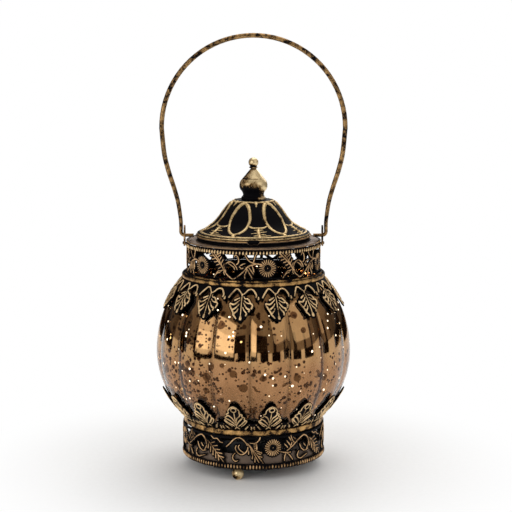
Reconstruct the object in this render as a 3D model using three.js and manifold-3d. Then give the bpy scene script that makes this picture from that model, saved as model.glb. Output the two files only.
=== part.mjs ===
// A metal lantern: a ribbed mercury glass globe between a pierced base and a pierced collar, with a
// lift-off lid, a swinging wire bail and a battery LED string inside.
// Millimetres, +Z up, the front towards -Y. The origin is on the floor, under the lantern's axis.
import * as THREE from "three";
import { mergeVertices } from "three/addons/utils/BufferGeometryUtils.js";
import Module from "manifold-3d";

// Clearances and sheet thicknesses
const TOUCH_GAP = 0.3; // between pieces that rest on each other
const SLIDE_GAP = 0.3; // round pieces that slide or turn
const BAND_SHEET = 1.0; // pierced bands and plain rings
const LEAF_SHEET = 0.8;
const PLATE_SHEET = 0.8; // collar plate, neck and lid
const ROUND_STEPS = 48; // straight steps in a full circle of a large turned piece

// Feet and base
const FOOT_DIAMETER = 8;
const FOOT_INSET = 6; // of the middle of a foot from the outside of the base
const FOOT_COUNT = 3;
const FOOT_BEARING = -14; // degrees from the front of the foot that shows, towards -X
const FOOT_FLAT_DEPTH = 0.3; // where the ball is worn flat on the floor
const FOOT_STUD_DIAMETER = 3;
const NUT_ACROSS_FLATS = 5.5;
const NUT_HEIGHT = 2.4;
const BASE_RADIUS = 48;
const BASE_PLATE_SHEET = 1;
const BASE_SKIRT_HEIGHT = 9; // upturned wall of the base plate
const BASE_SKIRT_INSET = 0.6; // of that wall from the plate's edge
const BASE_BAND_HEIGHT = 22;
const BASE_EDGE_HEIGHT = 5.2; // beaded edge under the piercing
const BASE_RING_INSET = 1.1; // of the plain ring from the outside of the band
const RING_HEIGHT = 3.9; // plain rings at the base and at the collar

// Glass globe
const GLOBE_RADIUS = 65.4;
const GLOBE_LOWER_HALF = 62; // from the equator to where the lower half would close
const GLOBE_UPPER_HALF = 70;
const GLOBE_MOUTH_RADIUS = 46.3;
const GLOBE_LOBES = 15;
const GLOBE_LOBE_STEPS = 3;
const GLOBE_GROOVE_BEARING = -2; // degrees from the front
const GLOBE_GROOVE_DEPTH = 1.4;
const GLASS_WALL = 2; // at the bottom of a groove
const GLASS_FLOOR = 2.5;
const GLASS_FLOOR_Z = 28.5;

// Leaves
const UPPER_LEAF_COUNT = 15;
const UPPER_LEAF_BEARING = -8;
const UPPER_LEAF_DROP = 19.5; // from the mouth of the globe to the leaf tips
const UPPER_LEAF_LAP = 3.1; // of the apron over the collar ring
const LOWER_LEAF_COUNT = 15;
const LOWER_LEAF_BEARING = 11.6;
const LOWER_LEAF_RISE = 18.3;
const LOWER_LEAF_LAP = 0.6; // of the crown's rail below the roots of its leaves
const LEAF_ROOT_GAP = 0.5; // from the glass
const LEAF_TIP_GAP = 1.1;
const LEAF_HALF_WIDTH = 7.5;

// Collar, neck and lid
const COLLAR_RING_INSET = 0.3; // of the plain ring from the outside of the glass rim
const COLLAR_INSET = 1; // of the pierced collar from the outside of the plain ring
const COLLAR_BAND_HEIGHT = 19;
const COLLAR_EDGE_HEIGHT = 3.6; // beaded edge over the piercing
const COLLAR_PLATE_INSET = 0.2; // of the plate from the outside of the collar
const NECK_RADIUS = 36.6; // inside
const NECK_HEIGHT = 3.6;
const NECK_LIP = 0.9; // how far the rolled lip stands out of the neck wall
const NOTCH_WIDTH = 7.5; // gap in the lip at the front, which the lid's tab drops into
const NOTCH_DEPTH = 2;
const LID_SKIRT = 6.5; // inside the neck
const LID_TAB_CLEARANCE = 0.5; // each side of the tab
const LID_RIM = 1.2; // how far the rim stands out over the skirt
const LID_TAB_REACH = 1.7; // how far the tab stands out of the skirt
const LID_HEIGHT = 23; // from the rim's seat to the flat top
const FINIAL_HEIGHT = 27.6;
const FINIAL_RADIUS = 9.3;
const FINIAL_STUD_LENGTH = 5.5;
const FINIAL_STUD_DIAMETER = 4;
const FINIAL_NUT_ACROSS_FLATS = 7;
const FINIAL_NUT_HEIGHT = 2.6;

// Piercing of the bands
const PATTERN_REPEATS = 6;
const COLLAR_FLOWER_BEARING = 13;
const BASE_FLOWER_BEARING = 17;
const FLOWER_RADIUS = 6;
const STEM_WIDTH = 1.6; // metal left between two openings

// Bail and ears
const WIRE_DIAMETER = 3.2;
const PIVOT_RISE = 2.8; // above the collar plate
const BAIL_STUB_TIP = 39.8; // how near the axis the hooked ends come
const BAIL_BEND = 2.4; // radius of the hook at the wire's centre
const BAIL_ARCH_RADIUS = 60.5;
const BAIL_ARCH_RISE = 71.2; // centre of the arch above the pivot
const BAIL_ARCH_STEPS = 13; // straight steps in a quarter of the arch
const EAR_THICKNESS = 1;
const EAR_WIDTH = 9;
const EAR_DROP = 3; // below the collar plate, over the band
const EAR_TOP_RISE = 6.8; // above the pivot
const RIVET_DIAMETER = 1.2;
const RIVET_HEAD_DIAMETER = 2.4;
const RIVET_HEAD_HEIGHT = 0.6;

// Battery box, two AA cells, switch
const CELL_DIAMETER = 14.2;
const CELL_LENGTH = 50.5;
const CELL_NUB_DIAMETER = 5.2;
const CELL_NUB_LENGTH = 1.2;
const CELL_SPACING = 15;
const BOX_WALL = 1.5;
const BOX_FLOOR_CLEARANCE = 5; // under the lowest lip of the box, so that the door slides under the plate
const FOOT_BOX_GAP = 0.5; // between the front foot and the front of the box
const DOOR_THICKNESS = 1.1;
const DOOR_LIP = 1.4; // how far the runners hold the door's edges
const RUNNER_HEIGHT = 1.2;
const DOOR_RIBS = 5;
const SWITCH_BAY_LENGTH = 6;
const SWITCH_TRAVEL = 3;
const SWITCH_KNOB = 2.6;
const CONTACT_THICKNESS = 0.5;
const SPRING_LENGTH = 4; // as fitted
const SPRING_RADIUS = 3.4;
const SPRING_WIRE = 0.7;
const SPRING_CURLS = 2.5;
const FLANGE_LENGTH = 12;
const FLANGE_WIDTH = 7;
const FLANGE_THICKNESS = 1.2;
const SCREW_DIAMETER = 2.4;
const SCREW_HEAD_DIAMETER = 4.6;
const SCREW_HEAD_HEIGHT = 1.4;
const SCREW_LENGTH = 4.6;

// LED string
const LED_WIRE_DIAMETER = 1;
const LED_LOOPS = 4;
const LED_COUNT = 17;
const LED_DIAMETER = 3.2;
const LED_LENGTH = 4;
const LED_GLASS_GAP = 1.4; // from the resin drops to the glass, over the straight steps of both
const LED_FIRST_LOOP_Z = 46;
const LED_LAST_LOOP_Z = 112;
const GROMMET_DIAMETER = 8;
const GROMMET_FLANGE = 2;

// Heights that follow from the sizes above
const basePlateZ = FOOT_DIAMETER - FOOT_FLAT_DEPTH + TOUCH_GAP;
const baseBandTop = basePlateZ + BASE_BAND_HEIGHT;
const baseRingZ = baseBandTop + TOUCH_GAP;
const baseRingTop = baseRingZ + RING_HEIGHT;
const baseRingRadius = BASE_RADIUS - BASE_RING_INSET;
const seatRadius = baseRingRadius - BAND_SHEET - TOUCH_GAP;
const equatorZ = baseRingTop + GLOBE_LOWER_HALF * Math.sqrt(1 - (seatRadius / GLOBE_RADIUS) ** 2);
const mouthZ = equatorZ + GLOBE_UPPER_HALF * Math.sqrt(1 - (GLOBE_MOUTH_RADIUS / GLOBE_RADIUS) ** 2);
const collarRingRadius = GLOBE_MOUTH_RADIUS - COLLAR_RING_INSET;
const collarRadius = collarRingRadius - COLLAR_INSET;
const collarRingZ = mouthZ + TOUCH_GAP;
const collarBandZ = collarRingZ + RING_HEIGHT + TOUCH_GAP;
const collarPlateZ = collarBandZ + COLLAR_BAND_HEIGHT + TOUCH_GAP;
const collarPlateTop = collarPlateZ + PLATE_SHEET;
const neckTop = collarPlateTop + NECK_HEIGHT;
const lidSeatZ = neckTop + TOUCH_GAP;
const lidTop = lidSeatZ + LID_HEIGHT;
const pivotZ = collarPlateTop + PIVOT_RISE;
const earInside = collarRadius + TOUCH_GAP;
const wireX = earInside + EAR_THICKNESS + SLIDE_GAP + WIRE_DIAMETER / 2;
const rivetZ = collarPlateZ - EAR_DROP / 2;
const runnerTop = BOX_FLOOR_CLEARANCE + RUNNER_HEIGHT;
const doorZ = runnerTop + SLIDE_GAP;
const doorTop = doorZ + DOOR_THICKNESS;
const footCircleRadius = BASE_RADIUS - FOOT_INSET;
const bayHalfWidth = CELL_SPACING / 2 + CELL_DIAMETER / 2 + TOUCH_GAP;
const bayFloor = doorTop + SLIDE_GAP;
const cellZ = bayFloor + CELL_DIAMETER / 2;
const bayCeiling = bayFloor + CELL_DIAMETER + TOUCH_GAP;
const boxTop = bayCeiling + BOX_WALL;
const boxHalfWidth = bayHalfWidth + DOOR_LIP + BOX_WALL;
const contactDepth = CONTACT_THICKNESS + 2 * TOUCH_GAP;
const bayLength = CELL_LENGTH + TOUCH_GAP + SPRING_LENGTH + 2 * contactDepth;
const boxRear = -bayLength / 2 - BOX_WALL;
const switchBayFront = bayLength / 2 + BOX_WALL + SWITCH_BAY_LENGTH;
const boxFront = switchBayFront + BOX_WALL;
const switchX = switchBayFront - SWITCH_BAY_LENGTH / 2;
const screwY = boxHalfWidth + FLANGE_WIDTH / 2;
const boxShift = footCircleRadius - FOOT_DIAMETER / 2 - FOOT_BOX_GAP - boxFront;
const nubTip = bayLength / 2 - contactDepth;
const glassInnerFloor = GLASS_FLOOR_Z + GLASS_FLOOR;

const wasm = await Module();
wasm.setup();

// Solids: welding, cutting and joining

function weld(geometry) {
  geometry.deleteAttribute("normal");
  geometry.deleteAttribute("uv");
  return mergeVertices(geometry, 1e-3);
}

function solidOf(geometry) {
  const welded = weld(geometry.clone());
  return new wasm.Manifold(
    new wasm.Mesh({
      numProp: 3,
      vertProperties: new Float32Array(welded.attributes.position.array),
      triVerts: new Uint32Array(welded.index.array),
    }),
  );
}

function geometryOf(solid) {
  const mesh = solid.getMesh();
  const geometry = new THREE.BufferGeometry();
  geometry.setAttribute("position", new THREE.BufferAttribute(mesh.vertProperties, 3));
  geometry.setIndex(new THREE.BufferAttribute(mesh.triVerts, 1));
  return geometry;
}

function cut(geometry, tools) {
  const solid = tools.reduce((left, tool) => left.subtract(solidOf(tool)), solidOf(geometry));
  return geometryOf(solid);
}

function join(geometries) {
  const [first, ...rest] = geometries.map(solidOf);
  return geometryOf(rest.reduce((whole, next) => whole.add(next), first));
}

// Basic shapes, all with their lowest face or lowest point at the height given

function block(sizeX, sizeY, lowZ, highZ, x = 0, y = 0) {
  const box = new THREE.BoxGeometry(sizeX, sizeY, highZ - lowZ);
  return box.translate(x, y, (lowZ + highZ) / 2);
}

function rod(diameter, lowZ, highZ, x = 0, y = 0, steps = 12) {
  const cylinder = new THREE.CylinderGeometry(diameter / 2, diameter / 2, highZ - lowZ, steps);
  return cylinder.rotateX(Math.PI / 2).translate(x, y, (lowZ + highZ) / 2);
}

function hexNut(acrossFlats, bore, lowZ, height) {
  const corner = acrossFlats / Math.sqrt(3);
  const outline = new THREE.Shape(ringPoints(corner, 6));
  outline.holes.push(new THREE.Path(ringPoints(bore / 2, 12)));
  return new THREE.ExtrudeGeometry(outline, { depth: height, bevelEnabled: false }).translate(0, 0, lowZ);
}

// A profile of [radius, height] pairs, from axis to axis or closed on itself, turned about Z.
function turned(profile, steps = ROUND_STEPS) {
  const points = profile.map(([radius, z]) => new THREE.Vector2(radius, z));
  const closed = points[0].x > 0;
  const loop = closed ? [...points, points[0].clone()] : points;
  return new THREE.LatheGeometry(loop, steps).rotateX(Math.PI / 2);
}

function ringPoints(radius, count) {
  const corner = (i) => (2 * Math.PI * i) / count;
  return Array.from({ length: count }, (_, i) =>
    new THREE.Vector2(radius * Math.cos(corner(i)), radius * Math.sin(corner(i))),
  );
}

function radians(degrees) {
  return (degrees * Math.PI) / 180;
}

// A place round the axis: the bearing is measured from the front, -Y, towards +X.
function around(bearing, radius, z) {
  return new THREE.Vector3(radius * Math.sin(bearing), -radius * Math.cos(bearing), z);
}

// Wires: a round section along a route of listed points

class WireRoute extends THREE.Curve {
  constructor(points) {
    super();
    this.points = points;
  }

  getPoint(t, target = new THREE.Vector3()) {
    const place = t * (this.points.length - 1);
    const index = Math.min(Math.floor(place), this.points.length - 2);
    return target.lerpVectors(this.points[index], this.points[index + 1], place - index);
  }

  getPointAt(t, target) {
    return this.getPoint(t, target);
  }

  getTangent(t, target = new THREE.Vector3()) {
    const index = Math.round(t * (this.points.length - 1));
    const here = this.points[index];
    const before = this.points[Math.max(index - 1, 0)];
    const after = this.points[Math.min(index + 1, this.points.length - 1)];
    const arriving = here.clone().sub(before).normalize();
    const leaving = after.clone().sub(here).normalize();
    return target.addVectors(arriving, leaving).normalize();
  }

  getTangentAt(t, target) {
    return this.getTangent(t, target);
  }
}

function wire(points, diameter, sides) {
  const section = new THREE.Shape(ringPoints(diameter / 2, sides));
  return new THREE.ExtrudeGeometry(section, {
    steps: points.length - 1,
    extrudePath: new WireRoute(points),
  });
}

function leastGapToItself(points, diameter, apart) {
  const route = new THREE.CatmullRomCurve3(points).getSpacedPoints(points.length * 4);
  const spacing = route[0].distanceTo(route[1]);
  const skip = Math.ceil(apart / spacing);
  let least = Infinity;
  route.forEach((here, i) => {
    for (let k = i + skip; k < route.length; k++) least = Math.min(least, here.distanceTo(route[k]));
  });
  return least - diameter;
}

// Sheets: a flat pattern of (bearing, height), repeated round the axis and given an outer and an inner face

function thickSheet(patch, count, place) {
  const pitch = (2 * Math.PI) / count;
  const edges = new Map();
  for (const [a, b, c] of patch.triangles) {
    for (const [from, to] of [[a, b], [b, c], [c, a]]) edges.set(`${from}>${to}`, [from, to]);
  }
  const rim = [...edges.values()].filter(([from, to]) => !edges.has(`${to}>${from}`));
  const onSeam = (p) => Math.abs(Math.abs(p.x) - pitch / 2) < 1e-9;
  const walls = rim.filter(([from, to]) => !(onSeam(patch.points[from]) && onSeam(patch.points[to])));
  const corners = [];
  for (let copy = 0; copy < count; copy++) {
    const outer = patch.points.map((p) => place(p.x + copy * pitch, p.y, 1));
    const inner = patch.points.map((p) => place(p.x + copy * pitch, p.y, 0));
    for (const [a, b, c] of patch.triangles) {
      corners.push(outer[a], outer[b], outer[c], inner[a], inner[c], inner[b]);
    }
    for (const [p, q] of walls) {
      corners.push(outer[p], inner[p], inner[q], outer[p], inner[q], outer[q]);
    }
  }
  return weld(new THREE.BufferGeometry().setFromPoints(corners));
}

function patchWithHoles(outline, holes) {
  const contour = THREE.ShapeUtils.isClockWise(outline) ? [...outline].reverse() : outline;
  const cuts = holes.map((hole) => (THREE.ShapeUtils.isClockWise(hole) ? hole : [...hole].reverse()));
  return {
    points: [contour, ...cuts].flat(),
    triangles: THREE.ShapeUtils.triangulateShape(contour, cuts),
  };
}

// Turns the shared edge of two triangles wherever that shortens it, so that the bent sheet follows its
// circle closely. Bearings are measured as lengths on the radius given.
function shortenEdges(patch, radius) {
  const { points, triangles } = patch;
  const span = (i, k) => Math.hypot((points[i].x - points[k].x) * radius, points[i].y - points[k].y);
  const leftTurn = (i, k, m) => THREE.ShapeUtils.area([points[i], points[k], points[m]]) > 1e-6;
  const turnOne = () => {
    const owner = new Map();
    triangles.forEach((corners, n) =>
      corners.forEach((corner, k) => owner.set(`${corner}>${corners[(k + 1) % 3]}`, n)),
    );
    for (const [n, corners] of triangles.entries()) {
      for (let k = 0; k < 3; k++) {
        const [a, b, c] = [corners[k], corners[(k + 1) % 3], corners[(k + 2) % 3]];
        const other = owner.get(`${b}>${a}`);
        if (other === undefined) continue;
        const d = triangles[other].find((corner) => corner !== a && corner !== b);
        if (span(c, d) > span(a, b) - 1e-6 || !leftTurn(c, a, d) || !leftTurn(d, b, c)) continue;
        triangles[n] = [c, a, d];
        triangles[other] = [d, b, c];
        return true;
      }
    }
    return false;
  };
  while (turnOne());
  return patch;
}

// Rows of points across a leaf, joined by two triangles for each step between two rows.
function addRows(patch, rows) {
  for (let r = 0; r + 1 < rows.length; r++) {
    const [above, below] = [rows[r], rows[r + 1]];
    for (let k = 0; k + 1 < above.length; k++) {
      const corners = [above[k], below[k], below[k + 1], above[k + 1]];
      const [a, b, c, d] = corners;
      if (b !== c) patch.triangles.push([a, b, c]);
      if (a !== d) patch.triangles.push([a, c, d]);
    }
  }
}

// Globe

function grooveAt(bearing) {
  const lobe = ((bearing - radians(GLOBE_GROOVE_BEARING)) * GLOBE_LOBES) / 2;
  return GLOBE_GROOVE_DEPTH * (1 - Math.abs(Math.sin(lobe)));
}

// Outer radius on the crest of a lobe.
function globeRadius(z) {
  const half = z > equatorZ ? GLOBE_UPPER_HALF : GLOBE_LOWER_HALF;
  return GLOBE_RADIUS * Math.sqrt(Math.max(0, 1 - ((z - equatorZ) / half) ** 2));
}

function globeInnerRadius(z) {
  const half = (z > equatorZ ? GLOBE_UPPER_HALF : GLOBE_LOWER_HALF) - GLASS_WALL;
  const radius = GLOBE_RADIUS - GLOBE_GROOVE_DEPTH - GLASS_WALL;
  return radius * Math.sqrt(Math.max(0, 1 - ((z - equatorZ) / half) ** 2));
}

// Rows from the mouth down to lowZ, evenly spaced along the curve.
function globeRows(lowZ, rows, radiusAt, grooved) {
  const high = Math.asin((mouthZ - equatorZ) / GLOBE_UPPER_HALF);
  const low = Math.asin((lowZ - equatorZ) / GLOBE_LOWER_HALF);
  return Array.from({ length: rows + 1 }, (_, i) => {
    const tilt = high + ((low - high) * i) / rows;
    const half = tilt > 0 ? GLOBE_UPPER_HALF : GLOBE_LOWER_HALF;
    const z = equatorZ + half * Math.sin(tilt);
    return { radius: radiusAt(z), z, grooved };
  });
}

function glassGlobe() {
  const holeRadius = GROMMET_DIAMETER / 2 + TOUCH_GAP;
  const outside = globeRows(GLASS_FLOOR_Z, 8, globeRadius, true);
  const inside = globeRows(glassInnerFloor, 7, globeInnerRadius, false).reverse();
  const hole = [GLASS_FLOOR_Z, glassInnerFloor].map((z) => ({ radius: holeRadius, z, grooved: false }));
  const loop = [...outside, ...hole, ...inside];
  const steps = GLOBE_LOBES * GLOBE_LOBE_STEPS;
  const start = radians(GLOBE_GROOVE_BEARING);
  const corner = (i, j) => {
    const bearing = start + (2 * Math.PI * (i % steps)) / steps;
    const row = loop[j % loop.length];
    const fade = (row.radius / GLOBE_RADIUS) ** 2;
    return around(bearing, row.radius - (row.grooved ? grooveAt(bearing) * fade : 0), row.z);
  };
  const corners = [];
  for (let i = 0; i < steps; i++) {
    for (let j = 0; j < loop.length; j++) {
      const [a, b, c, d] = [corner(i, j), corner(i, j + 1), corner(i + 1, j + 1), corner(i + 1, j)];
      corners.push(a, b, c, a, c, d);
    }
  }
  return weld(new THREE.BufferGeometry().setFromPoints(corners));
}

// Leaves: in each repeat a strip with one leaf hanging from its middle, before they are bent. The strip's
// edge is given in shares of half a repeat and of the leaf's length, and so are the arches and points
// between two leaves. The leaf is given in shares of its length and of its half width.

const UPPER_LEAF = {
  strip: [[0.12, 0.2], [0.42, 0.07], [0.78, 0.2], [1, 0.39]],
  leaf: [[0.37, 0.78], [0.5, 1], [0.72, 0.64], [0.92, 0.32]],
};
const LOWER_LEAF = {
  strip: [[0.12, 0.09], [0.5, 0.05], [0.72, 0.22], [1, 0.24]],
  leaf: [[0.25, 0.76], [0.39, 1], [0.6, 0.7], [0.82, 0.45]],
};

// The pattern runs from height 0 at the root to -length at the tip of the leaf.
function leafPatch({ strip, leaf }, count, lap, length, radius) {
  const half = Math.PI / count;
  const halfWidth = LEAF_HALF_WIDTH / radius;
  const left = strip.map(([share, drop]) => [-share, drop]).reverse();
  const edge = [...left, [0, strip[0][1]], ...strip];
  const patch = { points: [], triangles: [] };
  const add = (bearing, height) => patch.points.push(new THREE.Vector2(bearing, height)) - 1;
  const top = edge.map(([share]) => add(share * half, lap));
  const bottom = edge.map(([share, drop]) => add(share * half, -drop * length));
  addRows(patch, [top, bottom]);
  const rows = [bottom.slice(left.length - 1, left.length + 2)];
  for (const [drop, width] of leaf) {
    rows.push([-width, 0, width].map((side) => add(side * halfWidth, -drop * length)));
  }
  const tip = add(0, -length);
  rows.push([tip, tip, tip]);
  addRows(patch, rows);
  return patch;
}

function leafGap(share) {
  return LEAF_ROOT_GAP + (LEAF_TIP_GAP - LEAF_ROOT_GAP) * Math.max(0, share) ** 2;
}

function upperLeafApron() {
  const leafRadius = globeRadius(mouthZ - UPPER_LEAF_DROP * 0.6);
  const patch = leafPatch(UPPER_LEAF, UPPER_LEAF_COUNT, UPPER_LEAF_LAP, UPPER_LEAF_DROP, leafRadius);
  return thickSheet(patch, UPPER_LEAF_COUNT, (bearing, height, side) => {
    const z = mouthZ + height;
    const overGlass = globeRadius(z) + leafGap(-height / UPPER_LEAF_DROP);
    const overRing = collarRingRadius + TOUCH_GAP;
    const radius = Math.max(overRing, height > 0 ? 0 : overGlass) + side * LEAF_SHEET;
    return around(bearing + radians(UPPER_LEAF_BEARING), radius, z);
  });
}

function lowerLeafCrown() {
  const rootZ = baseRingTop + TOUCH_GAP;
  const leafRadius = globeRadius(rootZ + LOWER_LEAF_RISE * 0.6);
  const patch = leafPatch(LOWER_LEAF, LOWER_LEAF_COUNT, LOWER_LEAF_LAP, LOWER_LEAF_RISE, leafRadius);
  return thickSheet(patch, LOWER_LEAF_COUNT, (bearing, height, side) => {
    const z = rootZ + LOWER_LEAF_LAP - height;
    const radius = globeRadius(z) + leafGap(-height / LOWER_LEAF_RISE) + side * LEAF_SHEET;
    return around(-bearing + radians(LOWER_LEAF_BEARING), radius, z);
  });
}

// Pierced bands: openings in (distance along the band from the flower, height over the window's middle)

function tear(x, y, length, width, tilt, points) {
  return Array.from({ length: points }, (_, i) => {
    const turn = (2 * Math.PI * i) / points;
    const along = (length / 2) * Math.cos(turn);
    const across = (width / 2) * Math.sin(turn) * (1 - 0.35 * Math.cos(turn));
    const slope = radians(tilt);
    return [
      x + along * Math.cos(slope) - across * Math.sin(slope),
      y + along * Math.sin(slope) + across * Math.cos(slope),
    ];
  });
}

// Opening between the flower and the top corner of the window beside it.
function spandrel(windowHeight) {
  const reach = FLOWER_RADIUS + STEM_WIDTH / 2;
  const top = windowHeight / 2;
  const arc = [18, 60].map((degrees) => [
    reach * Math.cos(radians(degrees)),
    reach * Math.sin(radians(degrees)),
  ]);
  return [...arc, [reach * 0.5 + STEM_WIDTH, top], [reach + STEM_WIDTH * 0.9, top * 0.86]];
}

function piercing(windowHeight, pitch) {
  const quarter = [
    spandrel(windowHeight),
    tear(pitch * 0.395, windowHeight * 0.274, 7.4, 4, 35, 6),
  ];
  const side = [tear(pitch * 0.235, 0, 5.6, 3.6, 0, 6)];
  const mirrored = (holes, x, y) => holes.map((hole) => hole.map(([along, up]) => [x * along, y * up]));
  return [
    ...quarter,
    ...mirrored(quarter, -1, 1),
    ...mirrored(quarter, 1, -1),
    ...mirrored(quarter, -1, -1),
    ...side,
    ...mirrored(side, -1, 1),
  ];
}

function piercedBand(radius, height, windowLow, windowHigh, flowerBearing, lowZ) {
  const half = Math.PI / PATTERN_REPEATS;
  const pitch = 2 * half * radius;
  const middle = (windowLow + windowHigh) / 2;
  const steps = 8;
  const lower = Array.from(
    { length: steps + 1 },
    (_, i) => new THREE.Vector2(half * ((2 * i) / steps - 1), 0),
  );
  const upper = lower.map((p) => new THREE.Vector2(p.x, height)).reverse();
  const holes = piercing(windowHigh - windowLow, pitch).map((hole) =>
    hole.map(([along, up]) => new THREE.Vector2(along / radius, middle + up)),
  );
  const patch = shortenEdges(patchWithHoles([...lower, ...upper], holes), radius);
  return thickSheet(patch, PATTERN_REPEATS, (bearing, rise, side) =>
    around(bearing + radians(flowerBearing), radius - (side ? 0 : BAND_SHEET), lowZ + rise),
  );
}

function baseBand() {
  const top = BASE_BAND_HEIGHT - STEM_WIDTH / 2;
  return piercedBand(BASE_RADIUS, BASE_BAND_HEIGHT, BASE_EDGE_HEIGHT, top, BASE_FLOWER_BEARING, basePlateZ);
}

function collarBand() {
  const top = COLLAR_BAND_HEIGHT - COLLAR_EDGE_HEIGHT;
  const band = piercedBand(
    collarRadius, COLLAR_BAND_HEIGHT, STEM_WIDTH / 2, top, COLLAR_FLOWER_BEARING, collarBandZ,
  );
  const rivetHole = rod(RIVET_DIAMETER + 2 * TOUCH_GAP, -collarRadius - 2, collarRadius + 2, 0, 0, 8);
  return cut(band, [rivetHole.rotateY(Math.PI / 2).translate(0, 0, rivetZ)]);
}

function plainRing(radius, lowZ) {
  const inside = radius - BAND_SHEET;
  return turned(
    [
      [radius, lowZ],
      [radius, lowZ + RING_HEIGHT],
      [inside, lowZ + RING_HEIGHT],
      [inside, lowZ],
    ],
    ROUND_STEPS,
  );
}

// Base plate and feet, in a frame whose +X points at the front foot

function footBearings() {
  return Array.from({ length: FOOT_COUNT }, (_, i) => (2 * Math.PI * i) / FOOT_COUNT);
}

function basePlate() {
  const edge = BASE_RADIUS - BAND_SHEET - TOUCH_GAP - 0.1;
  const skirt = edge - BASE_SKIRT_INSET;
  const top = basePlateZ + BASE_PLATE_SHEET;
  const pan = turned(
    [
      [0, basePlateZ],
      [edge, basePlateZ],
      [edge, top],
      [skirt, top],
      [skirt, top + BASE_SKIRT_HEIGHT],
      [skirt - PLATE_SHEET, top + BASE_SKIRT_HEIGHT],
      [skirt - PLATE_SHEET, top],
      [0, top],
    ],
    ROUND_STEPS,
  );
  const studHoles = footBearings().map((turn) =>
    rod(
      FOOT_STUD_DIAMETER + 2 * TOUCH_GAP, basePlateZ - 1, top + 1,
      footCircleRadius * Math.cos(turn), footCircleRadius * Math.sin(turn),
    ),
  );
  const boxLength = boxFront - boxRear + 2 * TOUCH_GAP;
  const boxMiddle = boxShift + (boxFront + boxRear) / 2;
  const boxOpening = block(
    boxLength, 2 * (boxHalfWidth + TOUCH_GAP), basePlateZ - 1, top + 1, boxMiddle,
  );
  const screwHoles = [-1, 1].map((side) =>
    rod(SCREW_DIAMETER + 2 * TOUCH_GAP, basePlateZ - 1, top + 1, boxShift, side * screwY),
  );
  return cut(pan, [...studHoles, boxOpening, ...screwHoles]);
}

function foot() {
  const radius = FOOT_DIAMETER / 2;
  const flat = Math.sqrt(radius ** 2 - (radius - FOOT_FLAT_DEPTH) ** 2);
  const centreZ = radius - FOOT_FLAT_DEPTH;
  const studTop = basePlateZ + BASE_PLATE_SHEET + TOUCH_GAP + NUT_HEIGHT + 0.6;
  const low = Math.asin(-centreZ / radius);
  const high = Math.acos(FOOT_STUD_DIAMETER / 2 / radius);
  const ball = Array.from({ length: 7 }, (_, i) => {
    const tilt = low + ((high - low) * i) / 6;
    return [radius * Math.cos(tilt), centreZ + radius * Math.sin(tilt)];
  });
  ball[0] = [flat, 0];
  return turned([[0, 0], ...ball, [FOOT_STUD_DIAMETER / 2, studTop], [0, studTop]], 12);
}

function footNut() {
  const low = basePlateZ + BASE_PLATE_SHEET + TOUCH_GAP;
  return hexNut(NUT_ACROSS_FLATS, FOOT_STUD_DIAMETER + 2 * TOUCH_GAP, low, NUT_HEIGHT);
}

// Battery box and what it holds, in the same frame

function batteryBox() {
  const width = 2 * boxHalfWidth;
  const body = block(boxFront - boxRear, width, BOX_FLOOR_CLEARANCE, boxTop, (boxFront + boxRear) / 2);
  const flangeTop = basePlateZ - TOUCH_GAP;
  const flanges = [-1, 1].map((side) =>
    block(
      FLANGE_LENGTH, FLANGE_WIDTH + BOX_WALL, flangeTop - FLANGE_THICKNESS, flangeTop,
      0, side * (boxHalfWidth + (FLANGE_WIDTH - BOX_WALL) / 2),
    ),
  );
  const below = BOX_FLOOR_CLEARANCE - 1;
  const grooveHalf = bayHalfWidth + DOOR_LIP;
  const doorLength = bayLength + BOX_WALL + 1;
  const slotWidth = SWITCH_KNOB + 2 * SLIDE_GAP;
  const tools = [
    block(bayLength, 2 * bayHalfWidth, below, bayCeiling),
    block(doorLength, 2 * grooveHalf, runnerTop, doorTop + SLIDE_GAP, (bayLength - doorLength) / 2),
    block(doorLength, 2 * bayHalfWidth, below, doorTop, (bayLength - doorLength) / 2),
    block(SWITCH_BAY_LENGTH, 2 * bayHalfWidth - 4, runnerTop, bayCeiling, switchX),
    block(slotWidth, slotWidth + SWITCH_TRAVEL, below, runnerTop + 1, switchX),
    rod(LED_WIRE_DIAMETER + 4 * TOUCH_GAP, bayCeiling - 1, boxTop + 1, switchX),
    ...[-1, 1].map((side) =>
      rod(SCREW_DIAMETER + 2 * TOUCH_GAP, below, basePlateZ + 1, 0, side * screwY),
    ),
  ];
  return cut(join([body, ...flanges]), tools);
}

function batteryDoor() {
  const width = 2 * (bayHalfWidth + DOOR_LIP - SLIDE_GAP);
  const rear = boxRear;
  const front = bayLength / 2 - SLIDE_GAP;
  const plate = block(front - rear, width, doorZ, doorTop, (front + rear) / 2);
  const ribs = Array.from({ length: DOOR_RIBS }, (_, i) =>
    block(1, bayHalfWidth, doorZ - 0.8, doorZ + 0.4, rear + 5 + i * 2.4),
  );
  return join([plate, ...ribs]);
}

function batteryCell() {
  const shoulder = CELL_LENGTH - CELL_NUB_LENGTH;
  const radius = CELL_DIAMETER / 2;
  const profile = [
    [0, 0],
    [radius - 0.6, 0],
    [radius, 0.6],
    [radius, shoulder - 0.6],
    [radius - 0.6, shoulder],
    [CELL_NUB_DIAMETER / 2, shoulder],
    [CELL_NUB_DIAMETER / 2, CELL_LENGTH],
    [0, CELL_LENGTH],
  ];
  return turned(profile, 16).rotateY(Math.PI / 2);
}

function contactPlate() {
  return block(CONTACT_THICKNESS, 2 * (bayHalfWidth - TOUCH_GAP), bayFloor + 2, bayCeiling - TOUCH_GAP);
}

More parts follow.
